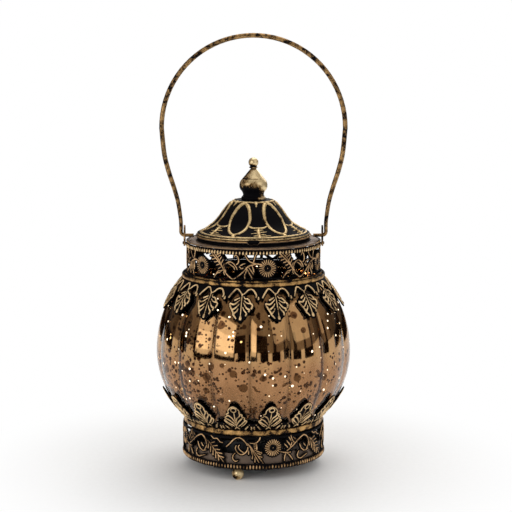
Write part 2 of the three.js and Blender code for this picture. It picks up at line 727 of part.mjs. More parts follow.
// A coil spring from the contact plate to the flat end of a cell, wound about +X.
function contactSpring() {
  const perCurl = 8;
  const count = Math.round(SPRING_CURLS * perCurl);
  const run = SPRING_LENGTH - SPRING_WIRE;
  const points = Array.from({ length: count + 1 }, (_, i) => {
    const turn = (2 * Math.PI * i) / perCurl;
    const radius = SPRING_RADIUS - (0.6 * i) / count;
    const along = SPRING_WIRE / 2 + (run * i) / count;
    return new THREE.Vector3(along, radius * Math.cos(turn), radius * Math.sin(turn));
  });
  const gap = leastGapToItself(points, SPRING_WIRE, SPRING_RADIUS * 3);
  console.log("contact spring, least gap to itself", gap.toFixed(2));
  return wire(points, SPRING_WIRE, 5);
}

function switchBody() {
  const low = runnerTop + SLIDE_GAP + 1.4 + SLIDE_GAP;
  return block(SWITCH_BAY_LENGTH - 2 * TOUCH_GAP, 9, low, low + 4, switchX);
}

function switchSlider() {
  const y = -SWITCH_TRAVEL / 2;
  const low = runnerTop + SLIDE_GAP;
  const shoe = block(SWITCH_BAY_LENGTH - 2 * SLIDE_GAP, 6.4, low, low + 1.4, switchX, y);
  const knob = block(SWITCH_KNOB, SWITCH_KNOB, BOX_FLOOR_CLEARANCE - 0.9, low + 0.5, switchX, y);
  return join([shoe, knob]);
}

function boxScrew() {
  const headLow = basePlateZ - TOUCH_GAP - FLANGE_THICKNESS - TOUCH_GAP - SCREW_HEAD_HEIGHT;
  const head = headLow + SCREW_HEAD_HEIGHT;
  return turned(
    [
      [0, headLow],
      [SCREW_HEAD_DIAMETER / 2 - 0.4, headLow],
      [SCREW_HEAD_DIAMETER / 2, head],
      [SCREW_DIAMETER / 2, head],
      [SCREW_DIAMETER / 2, head + SCREW_LENGTH],
      [0, head + SCREW_LENGTH],
    ],
    12,
  );
}

// LED string: up out of the switch bay, over the box, through the grommet and round the inside of the glass

const baseTurn = radians(FOOT_BEARING - 90);

function ledLoopRadius(z) {
  const stepSag = GLOBE_RADIUS * (1 - Math.cos(Math.PI / 24));
  return globeInnerRadius(z) - LED_DIAMETER / 2 - LED_GLASS_GAP + stepSag;
}

function ledRoute() {
  const overBox = boxTop + TOUCH_GAP + LED_WIRE_DIAMETER / 2 + 0.1;
  const wireHole = boxShift + switchX;
  const lead = [
    [wireHole, bayCeiling - 3],
    [wireHole, boxTop],
    [wireHole - 0.3, overBox - 0.2],
    [wireHole - 1.4, overBox],
    [wireHole * 0.6, overBox],
    [1.6, overBox],
    [0.4, overBox + 0.2],
    [0, overBox + 1],
    [0, glassInnerFloor + 3],
  ].map(([along, z]) => new THREE.Vector3(along * Math.cos(baseTurn), along * Math.sin(baseTurn), z));
  const rise = [0.06, 0.18, 0.32, 0.46, 0.6, 0.74, 0.88].map((share) => {
    const z = glassInnerFloor + 3.4 + (LED_FIRST_LOOP_Z - glassInnerFloor - 3.4) * share ** 2.2;
    const radius = ledLoopRadius(LED_FIRST_LOOP_Z) * share;
    return around(-Math.PI * (1 - share), radius, z);
  });
  const steps = LED_LOOPS * 24;
  const loops = Array.from({ length: steps + 1 }, (_, i) => {
    const z = LED_FIRST_LOOP_Z + ((LED_LAST_LOOP_Z - LED_FIRST_LOOP_Z) * i) / steps;
    return around((2 * Math.PI * i) / 24, ledLoopRadius(z), z);
  });
  const gap = leastGapToItself(loops, LED_WIRE_DIAMETER, GLOBE_RADIUS);
  console.log("LED wire, least gap to itself", gap.toFixed(2));
  return { points: [...lead, ...rise, ...loops], loopStart: lead.length + rise.length, steps };
}

// A clear resin drop on the middle of a straight step of the wire.
function ledBead() {
  const bore = LED_WIRE_DIAMETER / 2 + TOUCH_GAP;
  return turned(
    [
      [bore, -LED_LENGTH / 2],
      [LED_DIAMETER / 2, -LED_LENGTH / 5],
      [LED_DIAMETER / 2, LED_LENGTH / 5],
      [bore, LED_LENGTH / 2],
    ],
    6,
  );
}

function wireGrommet() {
  const bore = LED_WIRE_DIAMETER / 2 + TOUCH_GAP;
  const body = GROMMET_DIAMETER / 2;
  const low = GLASS_FLOOR_Z - TOUCH_GAP;
  const high = glassInnerFloor + TOUCH_GAP;
  return turned(
    [
      [bore, low - 0.8],
      [body + GROMMET_FLANGE, low - 0.8],
      [body + GROMMET_FLANGE, low],
      [body, low],
      [body, high],
      [body + GROMMET_FLANGE, high],
      [body + GROMMET_FLANGE - 0.6, high + 1.2],
      [bore, high + 1.2],
    ],
    12,
  );
}

// Collar plate with its neck, and the notch for the lid's tab

function collarTopPlate() {
  const outer = NECK_RADIUS + PLATE_SHEET;
  const lip = outer + NECK_LIP;
  const edge = collarRadius - COLLAR_PLATE_INSET;
  const plate = turned(
    [
      [edge, collarPlateZ],
      [edge, collarPlateTop],
      [outer, collarPlateTop],
      [outer, neckTop - 1.3],
      [lip, neckTop - 1.1],
      [lip, neckTop - 0.2],
      [lip - 0.4, neckTop],
      [NECK_RADIUS, neckTop],
      [NECK_RADIUS, collarPlateZ],
    ],
    ROUND_STEPS,
  );
  const notch = block(NOTCH_WIDTH, 6, neckTop - NOTCH_DEPTH, neckTop + 1, 0, -NECK_RADIUS - 1);
  return cut(plate, [notch]);
}

// The flared dome, as shares of the lid's radius and height
const LID_PROFILE = [
  [0.97, 0.075],
  [0.84, 0.19],
  [0.705, 0.355],
  [0.56, 0.645],
  [0.47, 0.81],
  [0.38, 0.955],
  [0.33, 1],
];

function lidDome() {
  const skirt = NECK_RADIUS - SLIDE_GAP;
  const rise = (share) => lidSeatZ + LID_HEIGHT * share;
  const outer = [
    [skirt, lidSeatZ - LID_SKIRT],
    [skirt, lidSeatZ],
    [skirt + LID_RIM, lidSeatZ + 0.2],
    [skirt + LID_RIM - 0.1, lidSeatZ + 1.1],
    ...LID_PROFILE.map(([width, height]) => [skirt * width, rise(height)]),
    [FINIAL_STUD_DIAMETER / 2 + TOUCH_GAP, lidTop],
  ];
  const inner = [
    [FINIAL_STUD_DIAMETER / 2 + TOUCH_GAP, lidTop - PLATE_SHEET],
    ...outer.slice(4, -1).reverse().map(([radius, z]) => [radius - PLATE_SHEET * 0.7, z - PLATE_SHEET]),
    [skirt - PLATE_SHEET, lidSeatZ + 0.2],
    [skirt - PLATE_SHEET, lidSeatZ - LID_SKIRT],
  ];
  const tabWidth = NOTCH_WIDTH - 2 * LID_TAB_CLEARANCE;
  const tabRoot = PLATE_SHEET / 2;
  const tabY = -(skirt + (LID_TAB_REACH - tabRoot) / 2);
  const tab = block(
    tabWidth, LID_TAB_REACH + tabRoot, neckTop - NOTCH_DEPTH + TOUCH_GAP, lidSeatZ + 0.4, 0, tabY,
  );
  return join([turned([...outer, ...inner], 32), tab]);
}

// The onion and ball, as shares of the finial's radius and height
const FINIAL_PROFILE = [
  [0.88, 0],
  [0.85, 0.05],
  [0.74, 0.1],
  [0.82, 0.18],
  [0.98, 0.26],
  [1, 0.32],
  [0.95, 0.41],
  [0.79, 0.48],
  [0.71, 0.52],
  [0.46, 0.62],
  [0.26, 0.7],
  [0.2, 0.73],
  [0.32, 0.75],
  [0.24, 0.79],
  [0.34, 0.85],
  [0.33, 0.92],
  [0.19, 0.98],
  [0, 1],
];

function finial() {
  const foot = lidTop + TOUCH_GAP;
  const stud = FINIAL_STUD_DIAMETER / 2;
  const studLow = foot - FINIAL_STUD_LENGTH;
  const knob = FINIAL_PROFILE.map(([width, height]) => [
    FINIAL_RADIUS * width,
    foot + FINIAL_HEIGHT * height,
  ]);
  return turned([[0, studLow], [stud, studLow], [stud, foot], ...knob], 16);
}

function finialNut() {
  const top = lidTop - PLATE_SHEET - TOUCH_GAP;
  return hexNut(
    FINIAL_NUT_ACROSS_FLATS, FINIAL_STUD_DIAMETER + 2 * TOUCH_GAP,
    top - FINIAL_NUT_HEIGHT, FINIAL_NUT_HEIGHT,
  );
}

// Ears and bail; side is -1 on the left and 1 on the right

function ear(side) {
  const half = EAR_WIDTH / 2;
  const outline = new THREE.Shape();
  outline.moveTo(-half, collarPlateZ - EAR_DROP);
  outline.lineTo(half, collarPlateZ - EAR_DROP);
  outline.lineTo(half, pivotZ + EAR_TOP_RISE - half);
  outline.absarc(0, pivotZ + EAR_TOP_RISE - half, half, 0, Math.PI);
  outline.closePath();
  const round = (diameter, z) =>
    new THREE.Path(ringPoints(diameter / 2, 12).map((p) => p.add(new THREE.Vector2(0, z))));
  outline.holes.push(round(WIRE_DIAMETER + 2 * SLIDE_GAP, pivotZ));
  outline.holes.push(round(RIVET_DIAMETER + 2 * TOUCH_GAP, rivetZ));
  const settings = { depth: EAR_THICKNESS, bevelEnabled: false, curveSegments: 8 };
  const plate = new THREE.ExtrudeGeometry(outline, settings);
  const upright = plate.rotateX(Math.PI / 2).rotateZ(Math.PI / 2);
  return upright.translate(side > 0 ? earInside : -earInside - EAR_THICKNESS, 0, 0);
}

function earRivet(side) {
  const outside = earInside + EAR_THICKNESS + TOUCH_GAP;
  const inside = collarRadius - BAND_SHEET - TOUCH_GAP - 0.1;
  const shank = RIVET_DIAMETER / 2;
  const head = RIVET_HEAD_DIAMETER / 2;
  const profile = [
    [0, inside - RIVET_HEAD_HEIGHT],
    [head * 0.7, inside - RIVET_HEAD_HEIGHT],
    [head * 0.9, inside],
    [shank, inside],
    [shank, outside],
    [head, outside],
    [head * 0.6, outside + RIVET_HEAD_HEIGHT],
    [0, outside + RIVET_HEAD_HEIGHT],
  ];
  const rivet = turned(profile, 10).rotateY(side > 0 ? Math.PI / 2 : -Math.PI / 2);
  return rivet.translate(0, 0, rivetZ);
}

// A leg of the bail from its hook to the arch, as shares of the spread between them and of the rise
const BAIL_LEG = [
  [0, 0.126],
  [0.073, 0.232],
  [0.179, 0.337],
  [0.39, 0.463],
  [0.65, 0.604],
  [0.87, 0.765],
  [1, 1],
];

function bailHandle() {
  const archZ = pivotZ + BAIL_ARCH_RISE;
  const hook = [
    [BAIL_STUB_TIP, 0],
    [wireX - BAIL_BEND, 0],
    ...[22.5, 45, 67.5].map((degrees) => [
      wireX - BAIL_BEND * (1 - Math.sin(radians(degrees))),
      BAIL_BEND * (1 - Math.cos(radians(degrees))),
    ]),
    [wireX, BAIL_BEND],
  ];
  const spread = BAIL_ARCH_RADIUS - wireX;
  const legCurve = new THREE.SplineCurve([
    new THREE.Vector2(wireX, BAIL_BEND),
    ...BAIL_LEG.map(([out, up]) => new THREE.Vector2(wireX + spread * out, BAIL_ARCH_RISE * up)),
  ]);
  const leg = legCurve.getPoints(16).slice(1).map((p) => [p.x, p.y]);
  const arc = Array.from({ length: BAIL_ARCH_STEPS }, (_, i) => {
    const turn = (Math.PI / 2) * ((i + 1) / BAIL_ARCH_STEPS);
    return [BAIL_ARCH_RADIUS * Math.cos(turn), BAIL_ARCH_RISE + BAIL_ARCH_RADIUS * Math.sin(turn)];
  });
  arc[arc.length - 1] = [0, archZ - pivotZ + BAIL_ARCH_RADIUS];
  const right = [...hook, ...leg, ...arc].map(([x, rise]) => new THREE.Vector3(x, 0, pivotZ + rise));
  const left = right.slice(0, -1).reverse().map((p) => new THREE.Vector3(-p.x, 0, p.z));
  return wire([...right, ...left], WIRE_DIAMETER, 8);
}

// The finished lantern

const lantern = new THREE.Group();
const base = new THREE.Group();
base.rotation.z = baseTurn;
lantern.add(base);

const FINISHES = {
  antiqueGold: { color: 0x6b5433, roughness: 0.45, metalness: 0.9 },
  patinaPlate: { color: 0x5d4f46, roughness: 0.5, metalness: 0.7 },
  mercuryGlass: { color: 0x9a6a48, roughness: 0.12, metalness: 0.6 },
  agedWire: { color: 0x4a3b2a, roughness: 0.5, metalness: 0.8 },
  steel: { color: 0xb8b8b4, roughness: 0.35, metalness: 1 },
  blackPlastic: { color: 0x18181a, roughness: 0.55, metalness: 0 },
  rubber: { color: 0x202020, roughness: 0.85, metalness: 0 },
  cellWrap: { color: 0x3a4048, roughness: 0.4, metalness: 0.1 },
  copper: { color: 0xb87333, roughness: 0.35, metalness: 1 },
  warmResin: { color: 0xffe2a8, roughness: 0.15, metalness: 0 },
};

function addPiece(parent, name, geometry, finish) {
  const mesh = new THREE.Mesh(geometry, new THREE.MeshStandardMaterial(FINISHES[finish]));
  mesh.name = name;
  parent.add(mesh);
  return mesh;
}

addPiece(lantern, "base_band", baseBand(), "antiqueGold");
addPiece(lantern, "base_ring", plainRing(baseRingRadius, baseRingZ), "antiqueGold");
addPiece(lantern, "lower_leaf_crown", lowerLeafCrown(), "antiqueGold");
addPiece(lantern, "glass_globe", glassGlobe(), "mercuryGlass");
addPiece(lantern, "upper_leaf_apron", upperLeafApron(), "antiqueGold");
addPiece(lantern, "collar_ring", plainRing(collarRingRadius, collarRingZ), "antiqueGold");
addPiece(lantern, "collar_band", collarBand(), "antiqueGold");
addPiece(lantern, "collar_top_plate", collarTopPlate(), "patinaPlate");
addPiece(lantern, "lid_dome", lidDome(), "antiqueGold");
addPiece(lantern, "finial", finial(), "antiqueGold");
addPiece(lantern, "finial_nut", finialNut(), "steel");
for (const [word, side] of [["left", -1], ["right", 1]]) {
  addPiece(lantern, `ear_${word}`, ear(side), "agedWire");
  addPiece(lantern, `ear_rivet_${word}`, earRivet(side), "antiqueGold");
}
addPiece(lantern, "bail_handle", bailHandle(), "agedWire");

addPiece(base, "base_plate", basePlate(), "patinaPlate");
footBearings().forEach((turn, i) => {
  const place = [footCircleRadius * Math.cos(turn), footCircleRadius * Math.sin(turn), 0];
  addPiece(base, `foot_${i + 1}`, foot(), "antiqueGold").position.set(...place);
  addPiece(base, `foot_nut_${i + 1}`, footNut(), "steel").position.set(...place);
});

const box = new THREE.Group();
box.position.x = boxShift;
base.add(box);
addPiece(box, "battery_box", batteryBox(), "blackPlastic");
addPiece(box, "battery_door", batteryDoor(), "blackPlastic");
for (const [number, side] of [[1, -1], [2, 1]]) {
  const cell = addPiece(box, `battery_cell_${number}`, batteryCell(), "cellWrap");
  cell.position.set(side * (CELL_LENGTH - nubTip), (side * CELL_SPACING) / 2, cellZ);
  cell.rotation.z = side > 0 ? Math.PI : 0;
  const spring = addPiece(box, `contact_spring_${number}`, contactSpring(), "steel");
  spring.position.set(side * nubTip, (side * CELL_SPACING) / 2, cellZ);
  spring.rotation.z = side > 0 ? Math.PI : 0;
  const plate = addPiece(box, `contact_plate_${number}`, contactPlate(), "steel");
  plate.position.x = side * (nubTip + contactDepth / 2);
  const screw = addPiece(box, `box_screw_${number}`, boxScrew(), "steel");
  screw.position.y = side * screwY;
}
addPiece(box, "switch_body", switchBody(), "blackPlastic");
addPiece(box, "switch_slider", switchSlider(), "blackPlastic");

const led = ledRoute();
addPiece(lantern, "led_wire", wire(led.points, LED_WIRE_DIAMETER, 5), "copper");
addPiece(lantern, "wire_grommet", wireGrommet(), "rubber");
for (let i = 0; i < LED_COUNT; i++) {
  const step = led.loopStart + Math.round(((i + 0.5) * led.steps) / LED_COUNT);
  const from = led.points[step];
  const to = led.points[step + 1];
  const bead = addPiece(lantern, `led_${String(i + 1).padStart(2, "0")}`, ledBead(), "warmResin");
  bead.position.copy(from).add(to).multiplyScalar(0.5);
  bead.quaternion.setFromUnitVectors(new THREE.Vector3(0, 0, 1), to.clone().sub(from).normalize());
}

export default lantern;
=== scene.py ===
import math
import bpy
import numpy as np
from mathutils import Matrix, Vector


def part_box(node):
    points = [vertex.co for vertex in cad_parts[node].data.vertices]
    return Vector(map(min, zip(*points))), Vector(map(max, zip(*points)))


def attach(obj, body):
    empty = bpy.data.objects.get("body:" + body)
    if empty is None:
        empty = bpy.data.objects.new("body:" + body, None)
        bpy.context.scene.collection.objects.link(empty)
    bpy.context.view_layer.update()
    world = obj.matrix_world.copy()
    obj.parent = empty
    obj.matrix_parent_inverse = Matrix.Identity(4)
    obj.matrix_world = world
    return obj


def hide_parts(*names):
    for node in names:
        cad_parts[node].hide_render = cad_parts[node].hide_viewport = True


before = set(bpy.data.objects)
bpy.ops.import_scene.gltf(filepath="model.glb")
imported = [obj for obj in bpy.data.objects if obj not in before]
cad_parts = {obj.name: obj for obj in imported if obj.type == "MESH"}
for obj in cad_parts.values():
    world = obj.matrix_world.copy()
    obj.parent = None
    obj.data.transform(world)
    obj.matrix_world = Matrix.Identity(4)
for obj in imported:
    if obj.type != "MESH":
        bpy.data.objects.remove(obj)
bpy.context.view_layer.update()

BODY = "lantern_body"

# Pierced base band: thin iron sheet stamped with vines, leaves and flowers, rolled into a ring.
# It is dipped in a black patina, and the raised lines are then rubbed with antique gold.
# It stands round the base plate, and its lower edge is rolled into a row of small beads.

MM = 0.001
BASE_BAND_RADIUS = 48.0
BASE_BAND_LOW = 8.0
BASE_BAND_HEIGHT = 22.0
BASE_REPEATS = 4
BASE_FLOWER_AT = 17.0  # degrees from the front


def linear(code):
    """A colour written as sRGB hex, in the linear values that a shader takes."""
    parts = [int(code[i:i + 2], 16) / 255 for i in (1, 3, 5)]
    return [*(p / 12.92 if p <= 0.04045 else ((p + 0.055) / 1.055) ** 2.4 for p in parts), 1.0]


def add(tree, kind, sockets=None, **settings):
    """A node with its settings; sockets maps an input to a value or to the output that feeds it.

    A Mix node of colours takes them at its inputs 6 and 7 and gives their mix at its output 2.
    """
    node = tree.nodes.new(kind)
    for name, value in settings.items():
        setattr(node, name, value)
    for key, value in (sockets or {}).items():
        if isinstance(value, bpy.types.NodeSocket):
            tree.links.new(value, node.inputs[key])
        else:
            node.inputs[key].default_value = value
    return node


def new_material(name):
    material = bpy.data.materials.new(name)
    material.use_nodes = True
    tree = material.node_tree
    tree.nodes.clear()
    return material, tree


BLACK_PATINA = "#09080b"
GRAIN_MM = 0.7
GRAIN_WEIGHT = 1.5
PIT_DEPTH = 0.12


def rubbed_patina(name, gold, bias, patch, patch_mm, roughness=0.42):
    """Black patina with gold rubbed on what stands up: iron sheet, blackened, wiped with gold wax.

    The mesh attribute "lift" says how far a point stands up, from -1 to 1. The eye sees dark hollows,
    gold crests with ragged edges, and a fine grain that breaks the highlights. The gold is painted from
    the pair's first, darker tone on the sides to its second, lighter tone on the crests: painted shade and
    painted highlight. A higher bias lets the gold reach lower, and patch says how unevenly it is wiped,
    over areas of patch_mm.
    """
    material, tree = new_material(name)
    place = add(tree, "ShaderNodeTexCoord").outputs["Object"]
    height = add(tree, "ShaderNodeAttribute", attribute_name="lift").outputs["Fac"]
    broad = add(tree, "ShaderNodeTexNoise", {
        "Vector": place, "Scale": 1 / (patch_mm * MM), "Detail": 3.0}).outputs["Fac"]
    grain = add(tree, "ShaderNodeTexNoise", {
        "Vector": place, "Scale": 1 / (GRAIN_MM * MM), "Detail": 2.0}).outputs["Fac"]
    for noise, weight in ((broad, patch), (grain, GRAIN_WEIGHT)):
        centred = add(tree, "ShaderNodeMath", {0: noise, 1: -0.5}, operation="ADD").outputs[0]
        part = add(tree, "ShaderNodeMath", {0: centred, 1: weight}, operation="MULTIPLY").outputs[0]
        height = add(tree, "ShaderNodeMath", {0: height, 1: part}, operation="ADD").outputs[0]
    rub = add(tree, "ShaderNodeMapRange", {"Value": height, "From Min": -bias, "From Max": 0.45 - bias},
              interpolation_type="SMOOTHSTEP").outputs["Result"]
    # Painted highlight and shade: the gold turns from the pair's first tone on the sides to its lighter
    # second tone on the crests.
    painted_crest_highlight = add(tree, "ShaderNodeMapRange", {
        "Value": height, "From Min": 0.2 - bias, "From Max": 1.0 - bias}).outputs["Result"]
    tone = add(tree, "ShaderNodeMix", {0: painted_crest_highlight, 6: linear(gold[0]), 7: linear(gold[1])},
               data_type="RGBA").outputs[2]
    colour = add(tree, "ShaderNodeMix", {0: rub, 6: linear(BLACK_PATINA), 7: tone},
                 data_type="RGBA").outputs[2]
    rough = add(tree, "ShaderNodeMapRange", {
        "Value": rub, "To Min": 0.55, "To Max": roughness}).outputs["Result"]
    metal = add(tree, "ShaderNodeMapRange", {"Value": rub, "To Min": 0.0, "To Max": 0.75}).outputs["Result"]
    bump = add(tree, "ShaderNodeBump", {
        "Height": grain, "Strength": 0.4, "Distance": PIT_DEPTH * MM}).outputs["Normal"]
    shader = add(tree, "ShaderNodeBsdfPrincipled", {
        "Base Color": colour, "Roughness": rough, "Metallic": metal, "Specular IOR Level": 0.04,
        "Normal": bump})
    add(tree, "ShaderNodeOutputMaterial", {"Surface": shader.outputs[0]})
    return material


# In each gold pair the first tone is painted shade on the sides and the second is painted highlight on the
# crests.
stamped_iron = rubbed_patina(
    "stamped_iron_black_patina_rubbed_gold", ("#70502e", "#fad8a4"),
    bias=0.05, patch=2.4, patch_mm=6)
# A darker copy of the stamped iron, with less and browner gold: painted shade for the base band and its
# beading, which get less light from above. The collar band takes the same copy.
shaded_band_iron = rubbed_patina(
    "stamped_iron_black_patina_faint_gold", ("#65482c", "#e2b988"),
    bias=-0.05, patch=2.6, patch_mm=7)


def round_the_axis(tree, geometry, copies, material, merge):
    """The last part of each tree: copies turned about the lantern's axis, made real, with a material."""
    turn = add(tree, "ShaderNodeMath", {0: math.tau, 1: copies}, operation="DIVIDE").outputs[0]
    index = add(tree, "GeometryNodeInputIndex").outputs[0]
    angle = add(tree, "ShaderNodeMath", {0: turn, 1: index}, operation="MULTIPLY").outputs[0]
    rotation = add(tree, "ShaderNodeCombineXYZ", {"Z": angle}).outputs[0]
    points = add(tree, "GeometryNodePoints", {"Count": copies}).outputs[0]
    ring = add(tree, "GeometryNodeInstanceOnPoints",
               {"Points": points, "Instance": geometry, "Rotation": rotation}).outputs[0]
    real = add(tree, "GeometryNodeRealizeInstances", {"Geometry": ring}).outputs[0]
    joined = add(tree, "GeometryNodeMergeByDistance", {"Geometry": real, "Distance": merge}).outputs[0]
    smooth = add(tree, "GeometryNodeSetShadeSmooth", {"Geometry": joined}).outputs[0]
    painted = add(tree, "GeometryNodeSetMaterial", {"Geometry": smooth, "Material": material}).outputs[0]
    add(tree, "NodeGroupOutput", {"Geometry": painted})


def new_tree(name, inputs):
    """A Geometry Nodes tree with a Geometry input and output and the named inputs."""
    tree = bpy.data.node_groups.new(name, "GeometryNodeTree")
    tree.interface.new_socket("Geometry", in_out="INPUT", socket_type="NodeSocketGeometry")
    tree.interface.new_socket("Geometry", in_out="OUTPUT", socket_type="NodeSocketGeometry")
    for label, kind in inputs:
        tree.interface.new_socket(label, in_out="INPUT", socket_type=kind)
    source = tree.nodes.new("NodeGroupInput")
    return tree, source.outputs


def ridge_tree():
    """Sweeps a round section along each line of the mesh and notes how far each point stands up."""
    tree, given = new_tree("ridges_along_lines", [
        ("Copies", "NodeSocketInt"), ("Sides", "NodeSocketInt"), ("Merge Distance", "NodeSocketFloat"),
        ("Material", "NodeSocketMaterial")])
    curve = add(tree, "GeometryNodeMeshToCurve", {"Mesh": given["Geometry"]}).outputs[0]
    place = add(tree, "GeometryNodeInputPosition").outputs[0]
    held = add(tree, "GeometryNodeStoreNamedAttribute",
               {"Geometry": curve, "Name": "middle", "Value": place}, data_type="FLOAT_VECTOR").outputs[0]
    radius = add(tree, "GeometryNodeInputNamedAttribute", {"Name": "ridge_radius"}).outputs[0]
    sized = add(tree, "GeometryNodeSetCurveRadius", {"Curve": held, "Radius": radius}).outputs[0]
    section = add(tree, "GeometryNodeCurvePrimitiveCircle",
                  {"Resolution": given["Sides"], "Radius": 1.0}).outputs[0]
    sweep = add(tree, "GeometryNodeCurveToMesh",
                {"Curve": sized, "Profile Curve": section, "Fill Caps": True})
    if "Scale" in sweep.inputs:
        tree.links.new(radius, sweep.inputs["Scale"])
    middle = add(tree, "GeometryNodeInputNamedAttribute", {"Name": "middle"},
                 data_type="FLOAT_VECTOR").outputs[0]
    outward = add(tree, "GeometryNodeInputNamedAttribute", {"Name": "outward"},
                  data_type="FLOAT_VECTOR").outputs[0]
    offset = add(tree, "ShaderNodeVectorMath", {0: place, 1: middle}, operation="SUBTRACT").outputs[0]
    rise = add(tree, "ShaderNodeVectorMath", {0: offset, 1: outward},
               operation="DOT_PRODUCT").outputs["Value"]
    lift = add(tree, "ShaderNodeMath", {0: rise, 1: radius}, operation="DIVIDE").outputs[0]
    lifted = add(tree, "GeometryNodeStoreNamedAttribute", {
        "Geometry": sweep.outputs[0], "Name": "lift", "Value": lift}, data_type="FLOAT").outputs[0]
    round_the_axis(tree, lifted, given["Copies"], given["Material"], given["Merge Distance"])
    return tree


def copies_tree():
    """Turns copies of a mesh about the lantern's axis and welds them where they meet."""
    tree, given = new_tree("copies_round_the_axis", [
        ("Copies", "NodeSocketInt"), ("Merge Distance", "NodeSocketFloat"),
        ("Material", "NodeSocketMaterial")])
    round_the_axis(tree, given["Geometry"], given["Copies"], given["Material"], given["Merge Distance"])
    return tree


RIDGES = ridge_tree()
COPIES = copies_tree()


def object_from(name, points, edges=(), faces=(), **attributes):
    """A mesh object from points in millimetres, with named attributes on its points."""
    mesh = bpy.data.meshes.new(name)
    mesh.from_pydata([tuple(c * MM for c in p) for p in points], edges, faces)
    for label, values in attributes.items():
        kind, field = ("FLOAT_VECTOR", "vector") if np.ndim(values) == 2 else ("FLOAT", "value")
        layer = mesh.attributes.new(label, kind, "POINT")
        layer.data.foreach_set(field, np.asarray(values, dtype=np.float32).ravel())
    piece = bpy.data.objects.new(name, mesh)
    bpy.context.scene.collection.objects.link(piece)
    return piece


def run_tree(piece, tree, **values):
    """Runs a tree on the piece with these inputs and keeps the result as a plain mesh."""
    modifier = piece.modifiers.new("nodes", "NODES")
    modifier.node_group = tree
    for item in tree.interface.items_tree:
        label = item.name.replace(" ", "_").lower()
        if item.in_out == "INPUT" and label in values:
            modifier[item.identifier] = values[label]
    settle(piece)
    return piece


def settle(piece):
    """Takes the piece's modifiers into its mesh."""
    graph = bpy.context.evaluated_depsgraph_get()
    mesh = bpy.data.meshes.new_from_object(piece.evaluated_get(graph), preserve_all_data_layers=True,
                                           depsgraph=graph)
    piece.modifiers.clear()
    piece.data = mesh


def finish_piece(piece, body, slot, *nodes):
    """The piece goes with a body and takes the place of these CAD nodes; slot is not used."""
    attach(piece, body)
    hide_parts(*nodes)
    return piece


def around(bearing, radius, z):
    """A place round the axis in millimetres; the bearing is in radians from the front towards +X."""
    return (radius * math.sin(bearing), -radius * math.cos(bearing), z)


def smooth(points, steps=5, closed=False):
    """A line through the given points, rounded between them."""
    count = len(points)

    def point(k):
        return np.array(points[k % count if closed else min(max(k, 0), count - 1)], float)

    line = []
    for i in range(count if closed else count - 1):
        a, b, c, d = point(i - 1), point(i), point(i + 1), point(i + 2)
        for s in range(steps):
            t = s / steps
            line.append(0.5 * (2 * b + (c - a) * t + (2 * a - 5 * b + 4 * c - d) * t ** 2
                               + (3 * b - a - 3 * c + d) * t ** 3))
    line.append(point(0 if closed else count - 1))
    return line


LINE_TIP = 0.72  # radius at the two ends of a raised line, as a share of its full radius


def ridges(name, strokes, place, copies, material, sides=8, sink=0.25):
    """Raised lines. A stroke is its points, its radius and the radius at its end, in mm.

    place gives a point and its outside; sink is the share of the radius that lies in the sheet.
    """
    points, edges, radii, outs = [], [], [], []
    for line, radius, end in strokes:
        first = len(points)
        last = len(line) - 1
        for i, (x, y) in enumerate(line):
            spot, out = place(x, y)
            width = radius + (end - radius) * i / max(last, 1)
            full = min(1.0, 4 * min(i, last - i) / max(last, 1))
            points.append([s - o * width * sink for s, o in zip(spot, out)])
            radii.append(width * (LINE_TIP + (1 - LINE_TIP) * full) * MM)
            outs.append(out)
            if i:
                edges.append((first + i - 1, first + i))
    piece = object_from(name, points, edges=edges, ridge_radius=radii, outward=outs)
    return run_tree(piece, RIDGES, copies=copies, sides=sides, merge_distance=1e-6, material=material)


FAR = 1e3  # mm, farther than anything on a sheet


def distance_to(grid, a, b):
    """How far each grid point is from the straight line from a to b."""
    along = b - a
    share = np.clip(((grid - a) @ along) / max(along @ along, 1e-9), 0, 1)
    return np.linalg.norm(grid - (a + share[..., None] * along), axis=-1)


def outside(shape, grid):
    """How far each grid point is outside a closed shape, negative inside."""
    shape = np.asarray(shape, float)
    apart = np.full(grid.shape[:2], FAR)
    inside = np.zeros(grid.shape[:2], bool)
    for a, b in zip(shape, np.roll(shape, -1, axis=0)):
        apart = np.minimum(apart, distance_to(grid, a, b))
        crosses = (a[1] > grid[..., 1]) != (b[1] > grid[..., 1])
        rise = b[1] - a[1] if abs(b[1] - a[1]) > 1e-9 else 1e-9
        inside ^= crosses & (grid[..., 0] < a[0] + (grid[..., 1] - a[1]) * (b[0] - a[0]) / rise)
    return np.where(inside, -apart, apart)


def stamped_patch(strokes, solids, margin, low, high, cell):
    """The flat sheet between the openings: what lies within a margin of a line or inside a solid shape.

    It is read off a grid of small squares, whose edges are cut where the margin ends.
    """
    across, up = (max(2, round((high[k] - low[k]) / cell)) for k in (0, 1))
    xs = np.linspace(low[0], high[0], across + 1)
    ys = np.linspace(low[1], high[1], up + 1)
    grid = np.stack(np.meshgrid(xs, ys, indexing="ij"), -1)
    field = np.full(grid.shape[:2], FAR)
    for line, *widths in strokes:
        line = np.asarray(line, float)
        for a, b in zip(line, line[1:]):
            field = np.minimum(field, distance_to(grid, a, b) - max(widths) - margin)
    for shape in solids:
        field = np.minimum(field, outside(shape, grid))
    return squares(field, xs, ys)


CUT_CLEARANCE = 0.05  # least way from a cut to the corner of its square, as a share of the side


